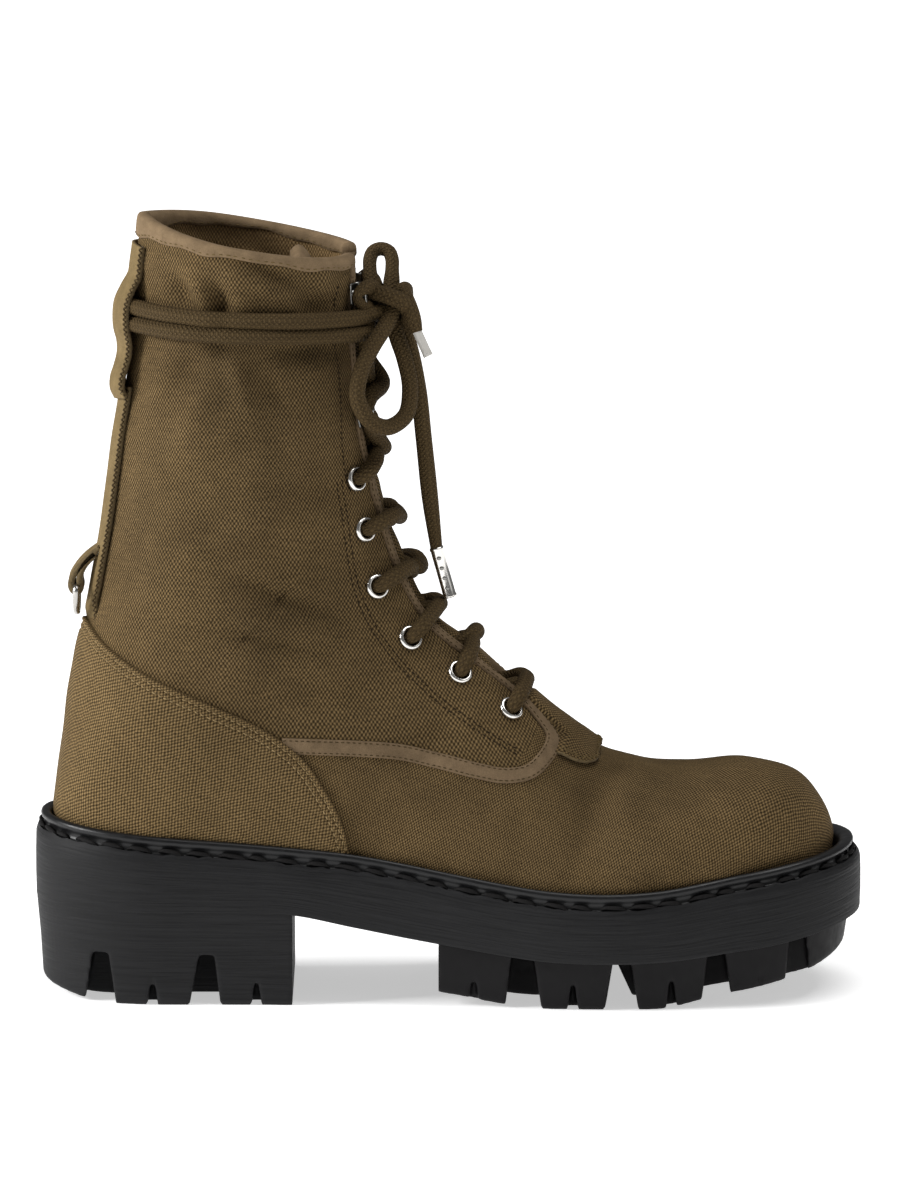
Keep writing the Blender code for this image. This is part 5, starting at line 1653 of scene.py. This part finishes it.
TO_TOP = (Hooked(13.7, -6.5, 3.2, 1.0), Hooked(14.5, -9.5, 5.0, 1.0))


def through(route, step, closed=False):
    """Even places on a smooth curve through a route, with any further columns carried along."""
    route = np.asarray(route, float)
    if closed:
        route = np.concatenate([route[-3:], route, route[:4]])
    run = lengths(route[:, :3])
    low, high = (run[3], run[-4]) if closed else (run[0], run[-1])
    count = max(8, int((high - low) / step))
    spots = np.linspace(low, high, count, endpoint=not closed)
    return np.stack([smooth(run, route[:, i])(spots) for i in range(route.shape[1])], 1)


def lace(name, route, nodes=(), closed=False):
    """A braided tube along a route of places and girths, with a map of millimetres and turns."""
    line = through(route, LACE_STEP, closed)
    path, girth = line[:, :3], line[:, 3]
    grid = tube(path, girth * LACE / 2, LACE_SIDES, closed)
    loop = np.concatenate([path, path[:1]]) if closed else path
    flat = quad_corners(lengths(loop), np.linspace(0, 1, LACE_SIDES + 1))
    made = ring_sweep(name, grid, BRAID, nodes, closed, flat=flat)
    return made, path


def girthed(points, girth=1.0):
    """Places with one girth for all of them."""
    points = np.asarray(points, float)
    return np.concatenate([points, np.full((len(points), 1), girth)], 1)


def hooked(spots, start, side):
    """A route through spots whose rows count from a start."""
    return [(*on_ridge(start + spot.row, side * spot.away, spot.lift), spot.girth) for spot in spots]


holes = list(eyelet_row) + [hook_row[LATERAL, 1], hook_row[LATERAL, 2]]
crossings = tuple(f"lace_cross_{number + 1}" for number in range(len(CROSS_ROWS) + 1))
top = len(EYELETS) - 1
for lead, lead_name in SIDES:
    on_top = lead == LATERAL
    side = lead
    route = hooked(LOWEST_BAR, holes[0], lead)
    for number, middle in enumerate(CROSS_ROWS):
        stretches = [(HOLE_OUT, holes[number], middle, eyelet_away[number])]
        if number < top:
            stretches.append((UNDER_FACING, middle, holes[number + 1], eyelet_away[number + 1]))
        for passes, low, high, edge in stretches:
            for spot in passes:
                row = low + (high - low) * spot.climb
                lift = spot.over if on_top else spot.under
                lift = lift + (TOP_PEAK * spot.climb**3 if number == top else 0.0)
                route.append((*on_ridge(row, side * spot.away * edge, lift), spot.girth))
        side = -side
    crossing = Hooked(LAST_CROSSING, 0.0, RISE_OVER if on_top else RISE_UNDER, 1.0)
    route += hooked(TO_LOW_HOOK + FROM_HOOK, holes[-2], -side)
    route += hooked((crossing, *TO_TOP), 0.0, side)
    route += hooked(TO_HOOK + TO_KNOT, holes[-1], side)
    made, path = lace(f"lace_half_{lead_name}", route, nodes=crossings if on_top else ())
    print("half", lead_name, "runs", round(float(lengths(path)[-1])), "mm")

# %% [markdown]
# ## Turns round the shaft
# From the top hooks the lace goes twice round the shaft, under the back strap, and is tied in front. The
# two turns are closed rings that hug the cloth and come forward to the knot.

# %% Turns
Turn = namedtuple("Turn", "name back_z front_z belly")
TURNS = (Turn("lace_turn_upper", 242.7, 239.1, 0.0), Turn("lace_turn_lower", 236.2, 233.0, 1.0))
TURN_LIFT = 0.25
TURN_FOLDS = 0.5
TURN_STEPS = 120
FRONT_LIFT = 3.4
FRONT_START = 0.72
for turn in TURNS:
    angle = np.linspace(0, 2 * math.pi, TURN_STEPS, endpoint=False)
    side = np.where(angle <= math.pi, LATERAL, MEDIAL)
    share = np.where(angle <= math.pi, angle / math.pi, 2 - angle / math.pi)
    height = turn.back_z + (turn.front_z - turn.back_z) * share + turn.belly * np.sin(math.pi * share)
    row = row_at_height(height, side, lambda row: share)
    front = np.clip((share - FRONT_START) / (1 - FRONT_START), 0, 1)
    point, normal, _, _ = skin_frame(row, share, side)
    lift = LACE / 2 + TURN_LIFT + FRONT_LIFT * front + TURN_FOLDS * folds(point)
    _, path = lace(f"{turn.name}_braid", girthed(point + normal * lift[:, None]), (turn.name,), True)
    print(turn.name, "is", round(float(lengths(path)[-1])), "mm round")

# %% [markdown]
# ## Knot, loops and ends
# The knot is one strand drawn over another, round a short thick core. Both loops and both ends hang free,
# so each is a cord of its own. The upper loop is a leaning arch, a little thinner where it is squeezed. All
# places here are plain X, Y and Z on the boot.

# %% Knot, loops and ends
ARCH = (
    (-26.2, 0.0), (-27.1, 5.0), (-27.5, 10.0), (-27.4, 14.2), (-26.3, 17.0), (-23.6, 18.1), (-20.9, 17.0),
    (-19.8, 14.2), (-19.7, 10.0), (-19.9, 5.0), (-20.2, 0.0),
)
ARCH_FOOT = (1.5, 245.4)
ARCH_LEAN = (0.6, 0.8)
LOOP_GIRTH = 0.84
TIP_GIRTH = 0.72
CORE_GIRTH = 1.75
LOOP_UP = [(x, ARCH_FOOT[0] + ARCH_LEAN[0] * up, ARCH_FOOT[1] + ARCH_LEAN[1] * up) for x, up in ARCH]
LOOP_DOWN = (
    (-18.6, -8.5, 243.0), (-21.6, -14.0, 237.0), (-26.4, -20.5, 230.0), (-30.4, -25.5, 222.0),
    (-31.6, -28.0, 213.0), (-28.0, -26.6, 205.6), (-21.0, -21.4, 201.8), (-15.0, -16.6, 205.2),
    (-13.4, -13.0, 214.0), (-15.4, -10.6, 224.6), (-18.0, -8.4, 232.0), (-19.4, -5.6, 237.4),
    (-20.0, -2.0, 241.4),
)
END_SHORT = (
    (-15.6, 9.0, 237.4), (-15.2, 8.4, 242.6), (-15.2, 2.0, 246.8), (-15.6, -6.0, 246.4),
    (-13.8, -11.2, 243.0), (-12.3, -13.2, 238.4), (-11.0, -13.9, 234.2),
)
END_LONG = (
    (-16.4, -3.4, 236.4), (-13.2, -3.4, 226.0), (-10.6, -4.0, 213.0), (-8.6, -5.0, 195.0),
    (-6.4, -5.5, 174.0), (-4.1, -6.0, 155.8),
)
KNOT_BAR = (
    (-32.5, 5.0, 243.5), (-30.0, -3.0, 246.4), (-26.0, -8.5, 247.4), (-21.0, -12.0, 246.6),
    (-16.6, -12.6, 244.8), (-13.9, -11.2, 241.6), (-13.6, -8.0, 238.2), (-15.6, -3.6, 236.2),
    (-19.0, 0.5, 236.8), (-22.0, 3.0, 239.5),
)
KNOT_UNDER = (
    (-33.0, -15.0, 239.8), (-27.0, -12.0, 240.4), (-21.5, -7.5, 240.8), (-17.4, -2.5, 241.4),
    (-16.4, 3.0, 242.0), (-20.0, 8.5, 242.2), (-27.0, 12.0, 241.6), (-33.0, 15.0, 240.4),
)
KNOT_CORE = ((-26.0, 1.0, 243.6), (-21.0, -0.5, 242.6), (-17.0, -2.0, 241.2))
lace("lace_knot_bar", girthed(KNOT_BAR), nodes=("lace_knot",))
lace("lace_knot_under", girthed(KNOT_UNDER))
lace("lace_knot_core", girthed(KNOT_CORE, CORE_GIRTH))
CORDS = (
    ("lace_loop_up", LOOP_UP, "object"),
    ("lace_loop_down", LOOP_DOWN, "object"),
    ("lace_end_short", END_SHORT, "fitting"),
    ("lace_end_long", END_LONG, "fitting"),
)
free_cords = {}
for label, route, far_end in CORDS:
    strand = girthed(route)
    if far_end == "fitting":
        strand[-1, 3] = TIP_GIRTH
    if label == "lace_loop_up":
        strand[2:-2, 3] = LOOP_GIRTH
    free_cords[label] = (*lace(f"{label}_braid", strand, nodes=(label,)), far_end)
    print(label, "is", round(float(lengths(free_cords[label][1])[-1]), 1), "mm long")

# %% [markdown]
# ## Lace tips
# One end has a clear plastic tip, crimped round the braid, and the other a plain metal barrel with a rolled
# rim at both ends and a row of small round studs down its side. Both are turned shapes.

# %% Tips and cords
TIP_SHORT = ((-11.2, -13.8, 235.0), (-7.0, -15.0, 225.9), 1.65)
TIP_LONG = ((-4.3, -6.0, 157.0), (0.6, -6.0, 139.4), 2.3)
TIP_STEPS = 36
TIP_WALL = 0.7
STUDS = 4
STUD = ((0.0, 0.36), (0.5, 0.34), (0.8, 0.2), (0.8, -0.2), (0.0, -0.2))
STUD_SUNK = 0.25
STUD_STEPS = 16


def barrel(start, end, radius, rim):
    """Radius and height along a tip, with rolled ends."""
    long = float(np.linalg.norm(np.subtract(end, start)))
    inner = radius - TIP_WALL
    near = ((rim * 0.4, 0.0), (rim, 0.4), (rim * 0.6, 0.9), (0.0, 1.2))
    first = [(radius + out, up) for out, up in near]
    last = [(radius + out, long - up) for out, up in near[::-1]]
    hollow = [(inner, long), (inner * 0.5, long - 0.5), (0.02, long - 0.6), (0.02, 0.2)]
    return [(inner, 0.0), *first, (radius, long / 2), *last, *hollow]


tips = {}
for label, (start, end, radius), finish, rim in (
    ("tip_short", TIP_SHORT, CLEAR_TIP, 0.1),
    ("tip_long", TIP_LONG, NICKEL, 0.25),
):
    axis = unit(np.subtract(end, start))
    profile = barrel(start, end, radius, rim)
    tips[label] = [turned(f"{label}_barrel", np.array(start), axis, profile, TIP_STEPS, finish, (label,))]
start, end, radius = TIP_LONG
axis = unit(np.subtract(end, start))
facing = unit(np.cross(axis, (1.0, 0.0, 0.0)))
facing = facing if facing[1] < 0 else -facing
for number in range(STUDS):
    along = np.subtract(end, start) * (number + 1.0) / (STUDS + 1.0)
    spot = np.array(start) + along + facing * (radius - STUD_SUNK)
    tips["tip_long"].append(turned(f"tip_long_dot_{number + 1}", spot, facing, STUD, STUD_STEPS, DULL_NICKEL))
for label, (made, path, far_end) in free_cords.items():
    [float(value) for value in path[0] * MM]
    (path * MM).tolist()
print("cords declared:", list(free_cords))

# %% [markdown]
# ## Sole
# The sole is built in layers: a midsole band all round, a heel block and a lugged outsole under it. The
# band is a stack of outlines with softened edges, and its trimmed top edge is a little ragged. The blocks
# are stacked in the same way, cut by wedges between the lugs, and then remeshed and smoothed a little,
# which rounds every edge as a mould does.

# %% Outlines and stacked solids
END_STEPS = 26
BODY_STEPS = 110
RAGGED = 0.28
RAGGED_STEPS = 160
quarter_turn = np.linspace(0, math.pi / 2, END_STEPS)
heel_places = HEEL_CAP - (HEEL_CAP - HEEL_END) * np.cos(quarter_turn) ** (2 / HEEL_ROUND)
toe_places = TOE_CAP + (TOE_END - TOE_CAP) * np.sin(quarter_turn) ** (2 / TOE_ROUND)
body_places = np.linspace(HEEL_CAP, TOE_CAP, BODY_STEPS)[1:-1]
STATIONS = np.concatenate([heel_places, body_places, toe_places])


def outline(share, extra=0.0):
    """The closed outline of the bottom edge, grown by a share of the sole's margin and by a length."""
    lateral = np.stack([STATIONS, centre(STATIONS) - half_width(STATIONS, LATERAL)], 1)
    medial = np.stack([STATIONS, centre(STATIONS) + half_width(STATIONS, MEDIAL)], 1)
    loop = np.concatenate([lateral, medial[-2:0:-1]])
    along = np.roll(loop, -1, 0) - np.roll(loop, 1, 0)
    normal = unit(np.stack([along[:, 1], -along[:, 0]], 1))
    return loop + normal * (share * margin(loop[:, 0]) + extra)[:, None], normal


def stacked(levels):
    """Points and faces of a solid made of whole outlines, with levels of (share, extra, height function)."""
    rings = []
    for share, extra, height in levels:
        ring, _ = outline(share, extra)
        rings.append(np.concatenate([ring, height(ring[:, 0])[:, None]], 1))
    grid = np.stack(rings)
    count = grid.shape[1]
    faces = grid_faces(len(levels), count, True).tolist()
    flat = grid_map(grid.transpose(1, 0, 2), closed=True).reshape(count, len(levels) - 1, 4, 2)
    flat = list(flat.transpose(1, 0, 2, 3).reshape(-1, 4, 2)[:, [0, 3, 2, 1]])
    for base in (0, (len(levels) - 1) * count):
        for i in range(len(STATIONS) - 1):
            face = [base + i, base + i + 1, base + (count - i - 1) % count, base + (count - i) % count]
            faces.append(face)
            flat.append(np.zeros((4, 2)))
    return grid, faces, flat


def raised(function, rise):
    """A height function that much higher."""
    return lambda x: function(x) + rise


ragged = smooth(np.linspace(-150, 150, RAGGED_STEPS), rng.normal(0, RAGGED, RAGGED_STEPS))
midsole_levels = (
    (0.2, 0.0, raised(band_low, 0.0)),
    (0.93, 0.0, raised(band_low, 0.0)),
    (1.0, -0.15, raised(band_low, 0.15)),
    (1.0, 0.0, raised(band_low, 0.8)),
    (1.0, 0.0, raised(band_low, 3.0)),
    (1.0, 0.15, lambda x: band_low(x) * 0.66 + footbed(x) * 0.34),
    (1.0, 0.15, lambda x: band_low(x) * 0.34 + footbed(x) * 0.66),
    (1.0, 0.0, raised(footbed, -2.4)),
    (1.0, -0.35, lambda x: footbed(x) - 1.1 + ragged(x) * 0.5),
    (0.93, -0.2, lambda x: footbed(x) - 0.2 + ragged(x)),
    (0.87, 0.0, lambda x: footbed(x) + 0.25 + ragged(x)),
    (0.81, 0.0, raised(footbed, -0.7)),
    (0.6, 0.0, raised(footbed, -0.9)),
)
points, faces, flat = stacked(midsole_levels)
piece("midsole_band", points, faces, RUBBER_BAND, ("midsole",), flat, True, sharp=50)
ends = points[..., 0].min(), points[..., 0].max()
print("midsole runs from", round(float(ends[0]), 1), "to", round(float(ends[1]), 1), "mm")

# %% [markdown]
# ## Heel block and outsole
# The wedges between the lugs are wider at the floor than at their roots, so that mud falls out. A thin cut
# in the middle of each lug lets it flex. Boolean modifiers take them all away, and a big box cuts each block
# off at the waist. The voxel remesh then gives an even skin to smooth.

# %% Heel block and outsole
Notch = namedtuple("Notch", "x low_width top_x top_width top reach")
HEEL_NOTCHES = table(
    Notch,
    (-121.7, 12.4, -121.6, 5.4, 18.2, 24.0), (-85.2, 12.4, -84.5, 5.2, 18.0, 26.0),
    (-103.4, 5.0, -103.3, 0.8, 10.5, 12.0), (-67.0, 5.0, -67.1, 0.8, 9.5, 12.0),
)
LUG_NOTCHES = table(
    Notch,
    (26.2, 14.0, 25.8, 7.4, 19.4, 30.0), (60.4, 13.2, 60.4, 6.0, 17.6, 30.0),
    (59.9, 13.6, 58.0, 0.9, 13.0, 90.0), (93.6, 12.4, 93.4, 5.6, 20.6, 30.0),
    (121.9, 11.0, 122.0, 5.6, 25.0, 24.0), (9.0, 5.4, 8.8, 0.8, 11.5, 12.0),
    (43.4, 5.4, 43.4, 0.8, 9.5, 12.0), (78.0, 5.4, 77.6, 0.8, 11.0, 12.0),
    (109.0, 5.0, 108.8, 0.8, 15.0, 12.0),
)
NOTCH_PAST = 5.0
CUTTER_PAST = 15.0
HEEL_HALF = 40.0
TREAD_HALF = 50.0
HEEL_BREAST = -54.5
OUTSOLE_REAR = -3.5
BOX_HALF = 90.0
BOX_HEIGHTS = (-20.0, 80.0)
FAR_OFF = 200.0
SAME_PLACE = 1e-7
VOXEL = 0.7
ROUNDING = 2
BOX_FACES = ((3, 2, 1, 0), (4, 5, 6, 7), (0, 1, 5, 4), (1, 2, 6, 5), (2, 3, 7, 6), (3, 0, 4, 7))


def raw_object(name, points, faces):
    """A helper object that is removed once it has been used."""
    mesh = bpy.data.meshes.new(name)
    points = np.asarray(points, float).reshape(-1, 3) * MM
    mesh.from_pydata(points.tolist(), [], [list(face) for face in faces])
    outward(mesh, SAME_PLACE)
    return linked(name, mesh)


def cutters(notches, half, away_low, away_high):
    """Wedges from both sides, or right across, and a box that removes the sole from away_low to away_high."""
    corners = []
    for notch in notches:
        low, top = notch.low_width / 2, notch.top_width / 2
        feet = ((notch.x - low, -NOTCH_PAST), (notch.x + low, -NOTCH_PAST))
        profile = (*feet, (notch.top_x + top, notch.top), (notch.top_x - top, notch.top))
        far = half + CUTTER_PAST
        spans = [(-far, far)]
        if notch.reach < half:
            spans = [(-far, -half + notch.reach), (half - notch.reach, far)]
        for span in spans:
            corners.append([(a, y, b) for y in span for a, b in profile])
    plan = ((away_low, -BOX_HALF), (away_high, -BOX_HALF), (away_high, BOX_HALF), (away_low, BOX_HALF))
    corners.append([(x, y, z) for z in BOX_HEIGHTS for x, y in plan])
    return [raw_object(f"cutter_{number}", corner, BOX_FACES) for number, corner in enumerate(corners)]


def moulded(name, levels, tools, nodes, finish):
    """A stack cut by tools, remeshed and rounded."""
    points, faces, _ = stacked(levels)
    block = raw_object(name + "_block", points, faces)
    for tool in tools:
        cut = block.modifiers.new(tool.name, "BOOLEAN")
        cut.operation = "DIFFERENCE"
        cut.solver = "EXACT"
        cut.object = tool
    skin = block.modifiers.new("skin", "REMESH")
    skin.mode = "VOXEL"
    skin.voxel_size = VOXEL * MM
    soft = block.modifiers.new("rounding", "SMOOTH")
    soft.factor = 0.5
    soft.iterations = ROUNDING
    bpy.context.view_layer.update()
    mesh = bpy.data.meshes.new_from_object(block.evaluated_get(bpy.context.evaluated_depsgraph_get()))
    for helper in (block, *tools):
        bpy.data.objects.remove(helper, do_unlink=True)
    mesh.name = name
    mesh.shade_smooth()
    mesh.materials.clear()
    mesh.materials.append(finish)
    made = linked(name, mesh)
    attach(made, "boot")
    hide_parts(*nodes)
    print(name, len(mesh.polygons), "quads")
    return made


heel_levels = (
    (1.0, -3.2, ground),
    (1.0, -2.2, raised(ground, 1.4)),
    (1.0, -1.4, raised(band_low, -14.0)),
    (1.0, -0.15, raised(band_low, 0.0)),
    (1.0, -0.3, raised(band_low, 3.0)),
)
heel_tools = cutters(HEEL_NOTCHES, HEEL_HALF, HEEL_BREAST, FAR_OFF)
moulded("heel_rubber", heel_levels, heel_tools, ("heel_block",), RUBBER_HEEL)
outsole_levels = (
    (1.0, -6.6, ground),
    (1.0, -5.6, raised(ground, 1.2)),
    (1.0, -4.2, raised(band_low, -1.0)),
    (1.0, -4.0, raised(band_low, 0.6)),
)
outsole_tools = cutters(LUG_NOTCHES, TREAD_HALF, -FAR_OFF, OUTSOLE_REAR)
moulded("outsole_rubber", outsole_levels, outsole_tools, ("outsole",), RUBBER_LUG)

# %% [markdown]
# ## Welt and insole
# A rolled rubber bead closes the gap between canvas and sole. Outside it runs a ledge with the heavy
# stitches that hold the sole on: long, thick, and never quite in line. Inside the boot lies the insole
# board.

# %% Welt bead, welt stitches and insole
BEAD = (
    (0.84, -0.4), (0.72, -0.2), (0.62, 0.5), (0.60, 2.0), (0.635, 2.67), (0.72, 3.28), (0.755, 4.1),
    (0.72, 4.93), (0.63, 5.5), (0.5, 5.7), (0.365, 5.5), (0.27, 4.9), (0.20, 3.6), (0.20, -0.4),
)
WELT_SEAM = 0.74
WELT_RISE = 0.9
WELT_TILT = 0.75
WELT_STITCH = Stitch(10.4, 9.2, 1.8)
bead_rings = []
for share, rise in BEAD:
    ring, _ = outline(share)
    bead_rings.append(np.concatenate([ring, (footbed(ring[:, 0]) + rise)[:, None]], 1))
ring_sweep("welt_bead", np.stack(bead_rings, 1), RUBBER_BEAD, ("welt",), closed=True, sharp=55)
thread_line, thread_out = outline(WELT_SEAM)
thread_path = np.concatenate([thread_line, (footbed(thread_line[:, 0]) + WELT_RISE)[:, None]], 1)
thread_path = np.concatenate([thread_path, thread_path[:1]])
thread_up = unit(np.concatenate([thread_out * WELT_TILT, np.ones((len(thread_out), 1))], 1))
thread_up = np.concatenate([thread_up, thread_up[:1]])
stitches("welt_stitches", thread_path, thread_up, WELT_STITCH, THREAD_BLACK, jitter=0.12, slant=0.4)
insole_levels = (
    (0.0, -4.0, raised(footbed, 0.0)),
    (0.0, -4.0, raised(footbed, 3.2)),
    (0.0, -4.6, raised(footbed, 3.9)),
)
points, faces, flat = stacked(insole_levels)
piece("insole_sock", points, faces, BOARD, ("insole",), flat, True, sharp=40)
print("welt length, mm:", round(float(lengths(thread_path)[-1])))

# %% [markdown]
# ## Floor, light and camera
# The boot stands on a wide floor of white paper, which glows more further off, so that it stays white to
# the edge of the picture. One soft light comes from the heel side and grazes the cloth, another from above
# lights the toe, a weak one from the front and a dim even sky fill the shadows. The camera looks at the
# outer side from a few metres away and a little above, through a long lens.

# %% Stage, lights and camera
FLOOR_HALF = 10.0
GLOW_START = 400.0
GLOW_SPREAD = 1200.0
SKY_POWER = 0.14
paper = bpy.data.meshes.new("paper")
floor_corners = ((-1, -1), (1, -1), (1, 1), (-1, 1))
paper.from_pydata([(x * FLOOR_HALF, y * FLOOR_HALF, 0) for x, y in floor_corners], [], [(0, 1, 2, 3)])
PAPER = Finish("paper", Base_Color=rgb(0.93, 0.93, 0.93), Roughness=0.9, Specular_IOR_Level=0.1)
away = PAPER.node("ShaderNodeVectorMath", {"operation": "LENGTH"}, {0: PAPER.place()}, 1)
glow = ((away - GLOW_START) / GLOW_SPREAD).held() * 0.5 + 0.5
PAPER.set("Emission Color", PAPER.tinted(rgb(1.0, 1.0, 1.0), glow))
PAPER.set("Emission Strength", 1.0)
paper.materials.append(PAPER.material)
floor = linked("floor", paper)

Lamp = namedtuple("Lamp", "name place size power")
AIM = Vector((0.0, 0.0, 0.12))
LAMPS = (
    Lamp("key", (-2.0, -0.42, 1.0), 0.8, 52.0),
    Lamp("top", (0.5, -0.15, 1.9), 1.2, 21.0),
    Lamp("fill", (2.1, -1.0, 0.6), 1.2, 2.6),
)
for lamp in LAMPS:
    data = bpy.data.lights.new(lamp.name, "AREA")
    data.size = lamp.size
    data.energy = lamp.power
    shone = linked(lamp.name, data)
    shone.location = lamp.place
    shone.rotation_euler = (AIM - Vector(lamp.place)).to_track_quat("-Z", "Y").to_euler()
sky = bpy.data.worlds.new("sky")
sky.use_nodes = True
sky.node_tree.nodes["Background"].inputs["Color"].default_value = rgb(1.0, 1.0, 1.0)
sky.node_tree.nodes["Background"].inputs["Strength"].default_value = SKY_POWER
bpy.context.scene.world = sky
bpy.context.scene.view_settings.view_transform = "Standard"

CAMERA_FAR = 4.0
CAMERA_UP = math.radians(9.5)
TARGET = Vector((0.00053, 0.0, 0.1373))
SEEN_HIGH = 0.4208
camera = linked("camera", bpy.data.cameras.new("camera"))
back = Vector((0.0, -math.cos(CAMERA_UP), math.sin(CAMERA_UP)))
camera.location = TARGET + back * CAMERA_FAR
camera.rotation_euler = (-back).to_track_quat("-Z", "Y").to_euler()
camera.data.lens = camera.data.sensor_width * CAMERA_FAR / SEEN_HIGH
camera.data.clip_end = 50.0
bpy.context.scene.camera = camera
print("lens:", round(camera.data.lens), "mm")

# %% [markdown]
# ## Sizes
# Looks must not change the object's size.
